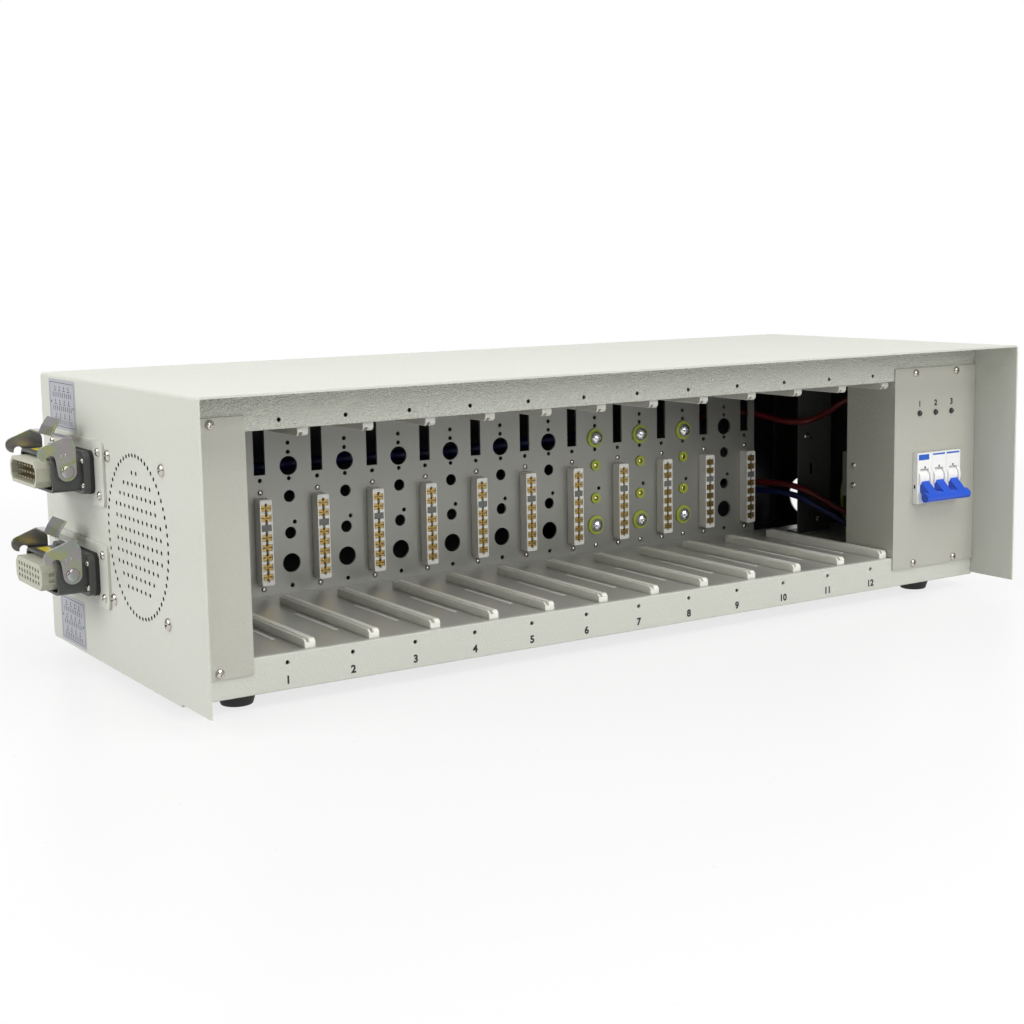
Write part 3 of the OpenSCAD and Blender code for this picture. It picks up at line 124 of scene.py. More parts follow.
def group(name, ins, outs):
    """A new shader group with its sockets, as (nodes, inputs, output node)."""
    tree = bpy.data.node_groups.new(name, "ShaderNodeTree")
    for label, kind, value in ins:
        tree.interface.new_socket(name=label, in_out="INPUT", socket_type=kind).default_value = value
    for label, kind in outs:
        tree.interface.new_socket(name=label, in_out="OUTPUT", socket_type=kind)
    nodes = Nodes(tree)
    return nodes, nodes.add("NodeGroupInput").outputs, nodes.add("NodeGroupOutput")


def finish_group(name, size, build):
    """A group that gives a surface its mask and its bump. build makes the height from a place."""
    n, i, out = group(name,
                      [("Size", VECTOR, size), ("Depth", FLOAT, 0.1), ("Relief", FLOAT, 0.0003)],
                      [("Mask", FLOAT), ("Normal", VECTOR)])
    scaled = n.add("ShaderNodeVectorMath", {0: n.place(), 1: i["Size"]}, operation="MULTIPLY")
    height = build(n, scaled.outputs[0])
    bump = n.add("ShaderNodeBump",
                 {"Strength": i["Depth"], "Distance": i["Relief"], "Height": height})
    n.tree.links.new(height, out.inputs["Mask"])
    n.tree.links.new(bump.outputs[0], out.inputs["Normal"])
    return n.tree


def pebble_height(n, place):
    """Leather-like grain of a powder coat: rounded cells of uneven size."""
    drift = n.add("ShaderNodeTexNoise", {"Vector": place, "Scale": 0.7, "Detail": 2.0})
    bent = n.add("ShaderNodeVectorMath", {0: place, 1: drift.outputs["Color"]}, operation="ADD")
    cells = n.add("ShaderNodeTexVoronoi",
                  {"Vector": bent.outputs[0], "Scale": 1.0, "Smoothness": 0.6}, feature="SMOOTH_F1")
    return n.math("SUBTRACT", 1.0, cells.outputs["Distance"])


def noise_height(n, place):
    """Fine grain of mouldings and castings, or streaks of drawn metal where Size is stretched."""
    noise = n.add("ShaderNodeTexNoise",
                  {"Vector": place, "Scale": 1.0, "Detail": 3.0, "Roughness": 0.6})
    return noise.outputs["Fac"]


def mottle_group():
    """Slow change of lightness over a surface."""
    grey = (0.5, 0.5, 0.5, 1)
    n, i, out = group("mottle",
                      [("Color", COLOR, grey), ("Size", FLOAT, 20), ("Amount", FLOAT, 0.05)],
                      [("Color", COLOR)])
    noise = n.add("ShaderNodeTexNoise", {"Vector": n.place(), "Scale": i["Size"], "Detail": 4.0})
    centred = n.math("SUBTRACT", noise.outputs["Fac"], 0.5)
    swing = n.math("MULTIPLY_ADD", centred, i["Amount"], 1.0)
    shade = n.add("ShaderNodeHueSaturation", {"Color": i["Color"], "Value": swing})
    n.tree.links.new(shade.outputs[0], out.inputs["Color"])
    return n.tree


def passivation_group():
    """Pale rainbow film on zinc."""
    n, i, out = group("passivation", [("Size", FLOAT, 45)], [("Color", COLOR)])
    noise = n.add("ShaderNodeTexNoise",
                  {"Vector": n.place(), "Scale": i["Size"], "Detail": 2.0, "Distortion": 0.8})
    color = n.ramp(noise.outputs["Fac"], [(0.30, (0.38, 0.40, 0.20)), (0.42, (0.43, 0.43, 0.41)),
                                          (0.50, (0.44, 0.38, 0.42)), (0.58, (0.38, 0.43, 0.41)),
                                          (0.68, (0.44, 0.44, 0.22)), (0.78, (0.32, 0.42, 0.44))])
    n.tree.links.new(color, out.inputs["Color"])
    return n.tree


def inside_group():
    """One within the box from Low to High, nought outside it."""
    n, i, out = group("inside_box",
                      [("Low", VECTOR, (0, 0, 0)), ("High", VECTOR, (1, 1, 1))], [("Mask", FLOAT)])
    place, mask = n.place(), 1.0
    for first, second in ((place, i["Low"]), (i["High"], place)):
        gap = n.add("ShaderNodeVectorMath", {0: first, 1: second}, operation="SUBTRACT").outputs[0]
        for part in n.add("ShaderNodeSeparateXYZ", {0: gap}).outputs:
            mask = n.math("MULTIPLY", mask, n.math("GREATER_THAN", part, 0.0))
    n.tree.links.new(mask, out.inputs["Mask"])
    return n.tree


PEBBLE = finish_group("pebble_grain", (560, 560, 560), pebble_height)
GRAIN = finish_group("fine_grain", (1800, 1800, 1800), noise_height)
MOTTLE = mottle_group()
FILM = passivation_group()
INSIDE = inside_group()


# Sockets of a colour mix by number, because their labels repeat for each kind of data
MIX_FIRST, MIX_SECOND, MIX_RESULT = 6, 7, 2


def material(name, color, rough, metallic=0.0, grain=(1800, 0.06), kind=GRAIN, relief=0.0003,
             tint=(25, 0.08), spread=0.06, inside=(), **sockets):
    """A Principled material: mottled colour, a grain for bump and roughness, constants on the shader.
    color is a colour, or the scale of a zinc film. grain and tint are (size, depth).
    inside lists (low, high, colour) for boxes in which the piece takes another colour, used here for painted
    shade where little light reaches."""
    made = bpy.data.materials.new(name)
    made.use_nodes = True
    n = Nodes(made.node_tree)
    shader = made.node_tree.nodes["Principled BSDF"]
    shader.inputs["Metallic"].default_value = metallic
    for key, value in sockets.items():
        shader.inputs[key.replace("_", " ")].default_value = value
    if isinstance(color, tuple):
        base = (*color, 1)
    else:
        base = n.add("ShaderNodeGroup", {"Size": color}, node_tree=FILM).outputs["Color"]
    tinted = {"Color": base, "Size": tint[0], "Amount": tint[1]}
    shown = n.add("ShaderNodeGroup", tinted, node_tree=MOTTLE).outputs["Color"]
    for low, high, inner in inside:
        box = n.add("ShaderNodeGroup", {"Low": low, "High": high}, node_tree=INSIDE)
        sides = {"Factor": box.outputs["Mask"], MIX_FIRST: shown, MIX_SECOND: (*inner, 1)}
        shown = n.add("ShaderNodeMix", sides, data_type="RGBA").outputs[MIX_RESULT]
    size = grain[0] if isinstance(grain[0], tuple) else (grain[0],) * 3
    grained = {"Size": size, "Depth": grain[1], "Relief": relief}
    finish = n.add("ShaderNodeGroup", grained, node_tree=kind)
    span = n.add("ShaderNodeMapRange", {"Value": finish.outputs["Mask"],
                                        "To Min": rough - spread, "To Max": rough + spread})
    made.node_tree.links.new(shown, shader.inputs["Base Color"])
    made.node_tree.links.new(finish.outputs["Normal"], shader.inputs["Normal"])
    made.node_tree.links.new(span.outputs["Result"], shader.inputs["Roughness"])
    return made


# Finishes, by the record's slot or by the name of an added piece's own finish
CREAM, BREAKER_WHITE, SHADE = (0.565, 0.574, 0.512), (0.86, 0.86, 0.84), (0.018, 0.018, 0.019)

# Boxes of painted shade: the case's inside, the walls of the fan's holes and the breaker's rear are coloured
# dark where little light reaches
SKIN, LIP_BACK, LIP_TOP = 1.2, 12, 14
CASE_INSIDE = (at(SKIN - HALF_W, LIP_BACK, LIP_TOP),
               at(HALF_W - SKIN, CASE_D - SKIN, TOP_Z - SKIN), SHADE)
FAN, GRILLE, HOLE_FROM, HOLE_TO = middle_of("fan_frame"), 62, 0.2, 4
FAN_HOLES = (at(HOLE_FROM - HALF_W, FAN.y - GRILLE, FAN.z - GRILLE),
             at(HOLE_TO - HALF_W, FAN.y + GRILLE, FAN.z + GRILLE), SHADE)
# Painted shade: the breaker's white case is coloured dark behind this depth, where little light reaches
BREAKER_DARK_Y = 8
BREAKER_REAR = (at(-HALF_W, BREAKER_DARK_Y, 0), at(HALF_W, CASE_D, TOP_Z), (0.030, 0.030, 0.032))

COAT = dict(grain=(560, 0.36), kind=PEBBLE, relief=0.0006, tint=(9, 0.05))
SHEATH = dict(grain=(900, 0.08), tint=(80, 0.2))
ZINC_FILM = 45.0
MOULDED = dict(grain=(2400, 0.06), tint=(70, 0.04))
LOOKS = {
    "cream_paint": material("powder_coat", CREAM, 0.48, **COAT),
    # The case's shell carries painted shade on its inside and on the walls of the fan's holes
    "case_shell": material("case_shell", CREAM, 0.48, inside=[CASE_INSIDE, FAN_HOLES], **COAT),
    "rail_coat": material("rail_coat", CREAM, 0.42, grain=(720, 0.9), kind=PEBBLE, relief=0.0013,
                          tint=(9, 0.05)),
    "panel_coat": material("panel_coat", (0.455, 0.450, 0.395), 0.46, **COAT),
    "grey_sheet": material("plated_sheet", (0.34, 0.34, 0.315), 0.38, metallic=0.45,
                           grain=((1400, 60, 1400), 0.08), tint=(14, 0.10)),
    "floor_sheet": material("floor_sheet", (0.53, 0.53, 0.49), 0.34, metallic=0.5, spread=0.02,
                            grain=(400, 0.01), tint=(10, 0.10)),
    # Painted shade: a grey sheet coloured dark for the brackets, which sit in shade inside the case
    "bracket_painted_shade": material("bracket_painted_shade", (0.11, 0.11, 0.105), 0.42, metallic=0.3, grain=(900, 0.06)),
    "white_nylon": material("natural_nylon", (0.82, 0.81, 0.74), 0.34, grain=(700, 0.06), tint=(60, 0.10),
                            Subsurface_Weight=0.5, Subsurface_Radius=(1, 1, 0.9), Subsurface_Scale=0.004),
    # Painted shade: a darker copy of the nylon for the guides in shade under the rail
    "nylon_painted_shade": material("nylon_painted_shade", (0.60, 0.59, 0.54), 0.36, grain=(700, 0.06), tint=(60, 0.10),
                          Subsurface_Weight=0.3, Subsurface_Radius=(1, 1, 0.9), Subsurface_Scale=0.003),
    "ivory_moulding": material("ivory_moulding", (0.92, 0.91, 0.85), 0.45, grain=(2600, 0.08),
                               tint=(90, 0.08)),
    "pebble_grey": material("pebble_grey", (0.42, 0.42, 0.33), 0.42, grain=(2200, 0.08), tint=(70, 0.12)),
    "gilt_contact": material("gilt_contact", (0.52, 0.36, 0.13), 0.32, metallic=0.8,
                             grain=((2500, 300, 2500), 0.10), tint=(400, 0.30)),
    "dull_pin": material("dull_pin", (0.50, 0.44, 0.32), 0.34, metallic=1.0, grain=(2500, 0.06),
                         tint=(300, 0.25)),
    "bright_pin": material("bright_pin", (0.86, 0.74, 0.46), 0.18, metallic=1.0, grain=(2500, 0.04)),
    "grey_key": material("grey_key", (0.17, 0.18, 0.17), 0.50, grain=(2200, 0.10)),
    "nickel_screw": material("nickel_plate", (0.56, 0.53, 0.48), 0.22, metallic=1.0, grain=(1500, 0.04),
                             tint=(300, 0.18)),
    "copper_bar": material("bare_copper", (0.62, 0.31, 0.17), 0.34, metallic=1.0,
                           grain=((1800, 1800, 60), 0.12), tint=(60, 0.25)),
    "lime_bush": material("lime_insulation", (0.42, 0.49, 0.05), 0.38, grain=(1500, 0.10),
                          tint=(120, 0.15)),
    "bright_bolt": material("bright_plate", (0.80, 0.82, 0.84), 0.24, metallic=0.95, grain=(900, 0.03)),
    "red_lead": material("red_sheath", (0.12, 0.004, 0.006), 0.40, **SHEATH),
    "blue_lead": material("blue_sheath", (0.004, 0.009, 0.085), 0.40, **SHEATH),
    "green_lead": material("green_sheath", (0.20, 0.28, 0.03), 0.42, **SHEATH),
    "black_plastic": material("black_moulding", (0.012, 0.012, 0.013), 0.50, grain=(1300, 0.15)),
    "black_rubber": material("black_rubber", (0.010, 0.010, 0.010), 0.62, grain=(1600, 0.20)),
    "dark_casting": material("coated_casting", (0.060, 0.064, 0.060), 0.42, grain=(1100, 0.22),
                             tint=(60, 0.2)),
    "zinc_lever": material("passivated_zinc", ZINC_FILM, 0.22, metallic=1.0, grain=(1400, 0.05),
                           tint=(120, 0.10)),
    "white_breaker": material("white_moulding", BREAKER_WHITE, 0.36, **MOULDED),
    # The breaker's case carries painted shade on its rear
    "breaker_case": material("breaker_case", BREAKER_WHITE, 0.36, inside=[BREAKER_REAR], **MOULDED),
    "blue_handle": material("blue_moulding", (0.012, 0.085, 0.60), 0.32, grain=(2000, 0.06),
                            tint=(120, 0.10), Coat_Weight=0.15),
    "dark_lamp": material("lamp_lens", (0.022, 0.006, 0.005), 0.12, grain=(2500, 0.03), Coat_Weight=0.5),
    "pale_strip": material("pale_strip", (0.80, 0.80, 0.76), 0.40, metallic=0.1, grain=(900, 0.05)),
    # Black print, also used as painted shade for the breaker's test holes and side slot
    "ink_and_hole_shade": material("print_and_hole_shade", (0.012, 0.012, 0.013), 0.50, grain=(2500, 0.05)),
    "label_film": material("label_film", (0.35, 0.36, 0.40), 0.34, grain=(2000, 0.04), tint=(60, 0.06)),
    "yellow_film": material("yellow_film", (0.83, 0.66, 0.02), 0.36, grain=(2000, 0.05), tint=(80, 0.12)),
    "blue_print": material("blue_print", (0.015, 0.10, 0.52), 0.36, grain=(2000, 0.04)),
}
LOOK_OF = {**SLOT_OF, "cover": "case_shell", "base_tray": "case_shell", "rear_panel": "case_shell",
           "front_rail": "rail_coat", "module_floor": "floor_sheet",
           "wiring_bracket": "bracket_painted_shade", "breaker_bracket": "bracket_painted_shade",
           "upper_insert": "pebble_grey", "lower_insert": "pebble_grey", "upper_pins": "dull_pin",
           "breaker_body": "breaker_case", "left_panel": "panel_coat", "power_panel": "panel_coat",
           "bus_pins": "bright_pin", "upper_guides": "nylon_painted_shade"}
for node, look in LOOK_OF.items():
    frame["nodes"][node].data.materials.clear()
    frame["nodes"][node].data.materials.append(LOOKS[look])


# Mesh building blocks
SPIN_MERGE, CAD_MERGE = 1e-7, 2e-6


def piece(name, bm, look, body="chassis", stands_for=(), angle=35):
    """Turns a bmesh into a finished object that rides on a body."""
    bmesh.ops.recalc_face_normals(bm, faces=bm.faces)
    mesh = bpy.data.meshes.new(name)
    bm.to_mesh(mesh)
    bm.free()
    mesh.polygons.foreach_set("use_smooth", [True] * len(mesh.polygons))
    mesh.set_sharp_from_angle(angle=math.radians(angle))
    mesh.materials.append(LOOKS[look])
    made = bpy.data.objects.new(name, mesh)
    bpy.context.scene.collection.objects.link(made)
    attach(made, body)
    if stands_for:
        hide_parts(*stands_for)
    return made


def drawing(origin, u, v):
    """Takes X and Y of a drawing to u and v on a face, and Z out of that face."""
    return Matrix.Translation(origin) @ Matrix((u, v, u.cross(v))).transposed().to_4x4()


def plate(bm, place, middle, size, corner, low, high, steps=4):
    """A flat plate with round corners on a drawing, standing from low to high, in millimetres."""
    half_step = Matrix.Rotation(math.pi / (4 * steps), 4, "Z")
    disc = bmesh.ops.create_circle(bm, cap_ends=True, segments=4 * steps, radius=corner * MM,
                                   matrix=half_step)
    foot = disc["verts"]
    for v in foot:
        v.co.x += (middle[0] + math.copysign(size[0] / 2 - corner, v.co.x)) * MM
        v.co.y += (middle[1] + math.copysign(size[1] / 2 - corner, v.co.y)) * MM
    lifted = bmesh.ops.extrude_face_region(bm, geom=[foot[0].link_faces[0]], use_keep_orig=True)["geom"]
    top = [v for v in lifted if isinstance(v, bmesh.types.BMVert)]
    bmesh.ops.translate(bm, vec=Z * low * MM, verts=foot)
    bmesh.ops.translate(bm, vec=Z * high * MM, verts=top)
    bmesh.ops.transform(bm, matrix=place, verts=foot + top)


def turned(profile, steps=32):
    """Mesh of a round solid: a profile of (radius, height) pairs in millimetres, spun about Z."""
    bm = bmesh.new()
    verts = [bm.verts.new((r * MM, 0, h * MM)) for r, h in profile]
    edges = [bm.edges.new(pair) for pair in zip(verts, verts[1:])]
    bmesh.ops.spin(bm, geom=verts + edges, axis=Z, angle=2 * math.pi, steps=steps, use_merge=True)
    bmesh.ops.remove_doubles(bm, verts=bm.verts, dist=SPIN_MERGE)
    bmesh.ops.recalc_face_normals(bm, faces=bm.faces)
    mesh = bpy.data.meshes.new("turned")
    bm.to_mesh(mesh)
    bm.free()
    return mesh


def stamp(bm, mesh, place):
    """Adds a copy of a mesh at a place."""
    copy = mesh.copy()
    copy.transform(place)
    bm.from_mesh(copy)
    bpy.data.meshes.remove(copy)


def solid_of(thing):
    """Mesh of an object with its modifiers, or of a text."""
    bpy.context.view_layer.update()
    return bpy.data.meshes.new_from_object(thing.evaluated_get(bpy.context.evaluated_depsgraph_get()))


def cad_bmesh(node):
    bm = bmesh.new()
    bm.from_mesh(frame["nodes"][node].data)
    bmesh.ops.remove_doubles(bm, verts=bm.verts, dist=CAD_MERGE)
    return bm


def islands(bm):
    """Lists of points, one for each separate solid."""
    seen, found = set(), []
    for start in bm.verts:
        if start in seen:
            continue
        stack, part = [start], []
        seen.add(start)
        while stack:
            v = stack.pop()
            part.append(v.co.copy())
            near = {e.other_vert(v) for e in v.link_edges} - seen
            seen |= near
            stack.extend(near)
        found.append(part)
    return found


# Pieces that stand for CAD solids
FLAT_ANGLE, SHARP_ANGLE = math.radians(0.6), math.radians(35)


def softened(node, width):
    """The CAD solid with its sharp edges broken, as the real piece has them."""
    bm = cad_bmesh(node)
    bmesh.ops.dissolve_limit(bm, angle_limit=FLAT_ANGLE, verts=bm.verts, edges=bm.edges)
    sharp = [e for e in bm.edges if len(e.link_faces) == 2 and e.calc_face_angle(0) > SHARP_ANGLE]
    bmesh.ops.bevel(bm, geom=sharp, offset=width * MM, offset_type="OFFSET", segments=2,
                    profile=0.5, affect="EDGES", clamp_overlap=True, material=-1)
    made = piece(node + "_edged", bm, LOOK_OF[node], BODY_OF[node],
                 stands_for=[node], angle=40)
    flat = made.modifiers.new("flat_faces", "WEIGHTED_NORMAL")
    flat.keep_sharp, flat.weight = True, 100


def round_lead(node, swell):
    """A lead with twice the sides. Its corners go out by swell, as subdivision draws them in."""
    bm = cad_bmesh(node)
    bm.normal_update()
    for v in bm.verts:
        v.co += v.normal * swell * MM
    made = piece(node + "_round", bm, SLOT_OF[node], stands_for=[node], angle=180)
    smooth = made.modifiers.new("round", "SUBSURF")
    smooth.levels = smooth.render_levels = 1


# Screw shapes: the straight rim as a share of the head's height, the recess as shares of the head's sizes
RIM_SHARE, RECESS_L, RECESS_W, RECESS_H, RECESS_TAPER = 0.22, 0.74, 0.19, 1.4, (0.5, 0.7, 1)


def cross_screw(head_d, head_h, shank_d, shank_l):
    """Mesh of a pan-head screw with a cross recess, head up from the origin. Sizes in millimetres."""
    r, rim, turns = head_d / 2, RIM_SHARE * head_h, 6
    dome = [(r * math.cos(a), rim + (head_h - rim) * math.sin(a))
            for a in (math.pi / 2 * k / turns for k in range(turns))]
    shank = [(0, -shank_l), (shank_d / 2, -shank_l), (shank_d / 2, 0), (r, 0)]
    head = bpy.data.objects.new("head", turned(shank + dome + [(0, head_h)]))
    bpy.context.scene.collection.objects.link(head)
    arms = []
    for quarter in range(2):
        bm = bmesh.new()
        bmesh.ops.create_cube(bm, size=MM)
        arm_size = (RECESS_L * head_d, RECESS_W * head_d, RECESS_H * head_h)
        bmesh.ops.scale(bm, vec=arm_size, verts=bm.verts)
        foot = [v for v in bm.verts if v.co.z < 0]
        bmesh.ops.scale(bm, vec=RECESS_TAPER, verts=foot)
        bmesh.ops.transform(bm, verts=bm.verts, matrix=Matrix.Translation(Z * head_h * MM)
                            @ Matrix.Rotation(math.pi / 2 * quarter, 4, "Z"))
        mesh = bpy.data.meshes.new("arm")
        bm.to_mesh(mesh)
        bm.free()
        arms.append(bpy.data.objects.new("arm", mesh))
        bpy.context.scene.collection.objects.link(arms[-1])
        cut = head.modifiers.new("recess", "BOOLEAN")
        cut.object, cut.operation, cut.solver = arms[-1], "DIFFERENCE", "EXACT"
    made = solid_of(head)
    for tool in [head] + arms:
        bpy.data.objects.remove(tool)
    return made


# Reading a screw: how much two widths of a round section differ, where the rim begins, what counts as the end
ROUND_TO, RIM_FROM, END_NEAR = 0.015, 0.45, 0.01 * MM


def screw_sizes(points):
    """Place of a screw and its four sizes in millimetres, read from the points of its solid."""
    lo = Vector([min(p[k] for p in points) for k in range(3)])
    hi = Vector([max(p[k] for p in points) for k in range(3)])
    size, middle = hi - lo, (lo + hi) / 2

    def roundness(k):
        a, b = size[(k + 1) % 3], size[(k + 2) % 3]
        return abs(a + b - 2 * size[k]) if abs(a - b) < ROUND_TO * max(a, b) else -1

    along = max(range(3), key=roundness)
    axis = (X, Y, Z)[along]
    head_d = size[along - 1]
    rim = [p for p in points
           if ((p - middle) - axis * (p - middle).dot(axis)).length > RIM_FROM * head_d]
    sign = 1 if sum(p[along] for p in rim) / len(rim) > middle[along] else -1
    seat = min((p[along] for p in rim), key=lambda value: value * sign)
    tip, tail = (hi[along], lo[along]) if sign > 0 else (lo[along], hi[along])
    shank = [p[along - 1] for p in points if abs(p[along] - tail) < END_NEAR]
    base = middle.copy()
    base[along] = seat
    turn = Z.rotation_difference(axis * sign).to_matrix().to_4x4()
    sizes = (head_d, abs(tip - seat), max(shank) - min(shank), abs(seat - tail))
    return Matrix.Translation(base) @ turn, tuple(round(value / MM, 2) for value in sizes)


SCREW_KINDS = {}


def detailed_screws(node):
    """Cross-recess screws in place of a node of plain ones. Screws of one size share their mesh."""
    source, bm = cad_bmesh(node), bmesh.new()
    for points in islands(source):
        place, sizes = screw_sizes(points)
        if sizes not in SCREW_KINDS:
            SCREW_KINDS[sizes] = cross_screw(*sizes)
        stamp(bm, SCREW_KINDS[sizes], place)
    source.free()
    piece(node + "_cross", bm, SLOT_OF[node], BODY_OF[node], stands_for=[node], angle=30)


# Widths of the broken edges and swell of the leads, in millimetres
EDGES = {"upper_housing": 0.85, "lower_housing": 0.85, "upper_lever": 0.35, "lower_lever": 0.35,
         "upper_insert": 0.5, "lower_insert": 0.4, "breaker_body": 0.4, "breaker_handle": 0.9,
         "breaker_drums": 0.4, "upper_gasket": 0.6, "lower_gasket": 0.6, "upper_plate": 0.5,
         "lower_plate": 0.5, "lower_guides": 0.4, "upper_guides": 0.4, "feet": 0.8, "base_tray": 0.5,
         "front_rail": 0.5, "left_panel": 0.4, "power_panel": 0.4, "cover": 0.5, "bus_pins": 1.2}
SLOT_EDGE = 0.3
SWELLS = {"red_lead_upper": 0.24, "red_lead_lower": 0.24, "blue_lead_lower": 0.24, "blue_loom": 0.36,
          "earth_lead": 0.16}
for node, width in EDGES.items():
    softened(node, width)
for node in SLOTS:
    softened(node, SLOT_EDGE)
for node, swell in SWELLS.items():
    round_lead(node, swell)
for node in ("panel_screws", "plate_screws", "flange_screws", "slot_screws", "case_screws", "bus_bolts"):
    detailed_screws(node)


# Figures: stroke and growth are shares of their height, thickness and lift are in millimetres
FIGURE_STROKE, FIGURE_GROW, FIGURE_T, FIGURE_LIFT = 0.025, 0.016, 0.04, 0.006


def figures(name, text, size, place):
    """Plain figures on a face, centred on the place's origin. Four prints, a little apart, make them bold.
    size is their height in millimetres."""
    curve = bpy.data.curves.new(name, "FONT")
    curve.body = text
    curve.size = size * MM
    curve.align_x, curve.align_y = "CENTER", "CENTER"
    curve.offset = FIGURE_STROKE * size * MM
    curve.extrude = FIGURE_T * MM
    holder = bpy.data.objects.new(name + "_outline", curve)
    bpy.context.scene.collection.objects.link(holder)
    mesh = solid_of(holder)
    bpy.data.objects.remove(holder)
    bm, grow = bmesh.new(), FIGURE_GROW * size * MM
    for k, (x, y) in enumerate(((-1, -1), (-1, 1), (1, -1), (1, 1))):
        stamp(bm, mesh, place @ Matrix.Translation((x * grow, y * grow, k * FIGURE_LIFT * MM)))
    piece(name, bm, "ink_and_hole_shade", angle=30)


SLOT_FIGURE, SLOT_FIGURE_Z = 7.8, 17.3
for i, x in enumerate(SLOT_XS, start=1):
    figures("slot_number_%02d" % i, str(i), SLOT_FIGURE, drawing(at(x, 0, SLOT_FIGURE_Z), X, Z))
LAMPS, LAMP_PITCH, LAMP_FIGURE, LAMP_FIGURE_UP = middle_of("indicator_lamps"), 20, 7.0, 8.3
for k in (-1, 0, 1):
    spot = at(LAMPS.x + k * LAMP_PITCH, -SHEET, LAMPS.z + LAMP_FIGURE_UP)
    figures("lamp_number_%d" % (k + 2), str(k + 2), LAMP_FIGURE, drawing(spot, X, Z))


# Spring tips of the contacts, on either side of the card
SPRING, SPRING_OFF, SPRING_CORNER, SPRING_IN, SPRING_OUT = (0.9, 2.8), 0.7, 0.2, -1.6, -0.3
bm, contacts = bmesh.new(), cad_bmesh("slot_contacts")
for points in islands(contacts):
    spot = Vector([(min(p[k] for p in points) + max(p[k] for p in points)) / 2 for k in range(3)])
    spot.y = min(p.y for p in points)
    for side in (-1, 1):
        plate(bm, drawing(spot, X, Z), (side * SPRING_OFF, 0), SPRING, SPRING_CORNER,
              SPRING_IN, SPRING_OUT, steps=2)
contacts.free()
piece("contact_springs", bm, "gilt_contact")


# Pale strips that fill the air slots in the module floor
VENT_OFF, VENT_MIDDLE, VENT_STRIP, VENT_CORNER, VENT_LOW, VENT_HIGH = 10, 79.5, (3.4, 69), 0.4, -0.2, 0.3
bm = bmesh.new()
for x in SLOT_XS:
    vent = drawing(at(x + VENT_OFF, VENT_MIDDLE, FLOOR_Z), X, Y)
    plate(bm, vent, (0, 0), VENT_STRIP, VENT_CORNER, VENT_LOW, VENT_HIGH)
piece("vent_strips", bm, "pale_strip")


# Side connectors: pivot caps, lever dimples and stickers. A dimple's place is out and up from the pivot
PIVOT_UP, PIVOT_OUT, CHEEK = 2.0, 21.3, 40.0
CAP = turned([(0, 0.1), (4.75, 0.1), (4.75, 1.2), (4.3, 1.6), (3.2, 1.8), (0, 1.9)])
DIMPLE = turned([(0, -0.1), (1.0, -0.1), (1.0, 0.15), (0.6, 0.35), (0, 0.4)], steps=16)
DIMPLES = ((0.5, 12.2), (3.8, 11.6))
SHELL_TOP, STICKER_OUT, STICKER_BACK, STICKER, STICKER_CORNER = 13.5, 22.5, 10, (34, 8.4), 0.8
SUNK, FILM_T = -0.1, 0.12
for level in ("upper", "lower"):
    centre = middle_of(level + "_gasket")
    caps, dimples, sticker = bmesh.new(), bmesh.new(), bmesh.new()
    for side in (-1, 1):
        pivot = at(-HALF_W - PIVOT_OUT, centre.y + side * CHEEK, centre.z + PIVOT_UP)
        stamp(caps, CAP, drawing(pivot, X * -side, Z))
        for out, up in DIMPLES:
            stamp(dimples, DIMPLE, drawing(pivot + (X * -out + Z * up) * MM, X * -side, Z))
    top = at(-HALF_W - STICKER_OUT, centre.y + STICKER_BACK, centre.z + SHELL_TOP)
    plate(sticker, drawing(top, Y, X * -1), (0, 0), STICKER, STICKER_CORNER, SUNK, FILM_T)
    piece(level + "_pivot_caps", caps, "zinc_lever", angle=50)
    piece(level + "_lever_dimples", dimples, "zinc_lever", body=level + "_lever", angle=50)
    piece(level + "_sticker", sticker, "yellow_film")


# Data labels on the left side: row and pitches are shares of the label's height and width
LABEL_CORNER, LABEL_LOW, PRINT_LOW, PRINT_HIGH, PRINT_CORNER = 1.2, -0.05, 0.1, 0.16, 0.2
LINE_W, LINE_IN, LINE_SHORT = 0.5, 2.6, 5
SQUARE, SQUARE_IN, SQUARE_UP = (2.0, 2.0), 5.2, 1.5
ROW_PITCH, TICKS, TICK, TICK_PITCH, TICK_UP = 0.27, 10, (1.2, 3.8), 0.075, -3.0
BRACKETS, BRACKET, BRACKET_PITCH, BRACKET_UP, STEM, STEM_UP = 4, (5.4, 0.6), 0.17, 0.2, (1.3, 2.8), 2.4


def data_label(name, y_range, z_range):
    """A plain label with a frame, rows of ticks and brackets, and a small square at each end."""
    w, h = y_range[1] - y_range[0], z_range[1] - z_range[0]
    place = drawing(at(-HALF_W, sum(y_range) / 2, sum(z_range) / 2), Y * -1, Z)
    film, marks = bmesh.new(), bmesh.new()
    plate(film, place, (0, 0), (w, h), LABEL_CORNER, LABEL_LOW, FILM_T)

    def mark(x, y, size):
        plate(marks, place, (x, y), size, min(size) * PRINT_CORNER, PRINT_LOW, PRINT_HIGH, steps=1)

    for side in (-1, 1):
        mark(0, side * (h / 2 - LINE_IN), (w - LINE_SHORT, LINE_W))
        mark(side * (w / 2 - LINE_IN), 0, (LINE_W, h - LINE_SHORT))
        mark(side * (w / 2 - SQUARE_IN), -SQUARE_UP * side, SQUARE)
    for row in (-1, 0, 1):
        y = -ROW_PITCH * h * row
        for k in range(TICKS):
            mark((k - (TICKS - 1) / 2) * TICK_PITCH * w, y + TICK_UP, TICK)
        for k in range(BRACKETS):
            x = (k - (BRACKETS - 1) / 2) * BRACKET_PITCH * w
            mark(x, y + BRACKET_UP, BRACKET)
            mark(x, y + STEM_UP, STEM)
    piece(name, film, "label_film")
    piece(name + "_print", marks, "ink_and_hole_shade")


data_label("upper_label", y_range=(189.5, 250.5), z_range=(180, 218.5))
data_label("lower_label", y_range=(192.5, 250.0), z_range=(12.5, 49.8))
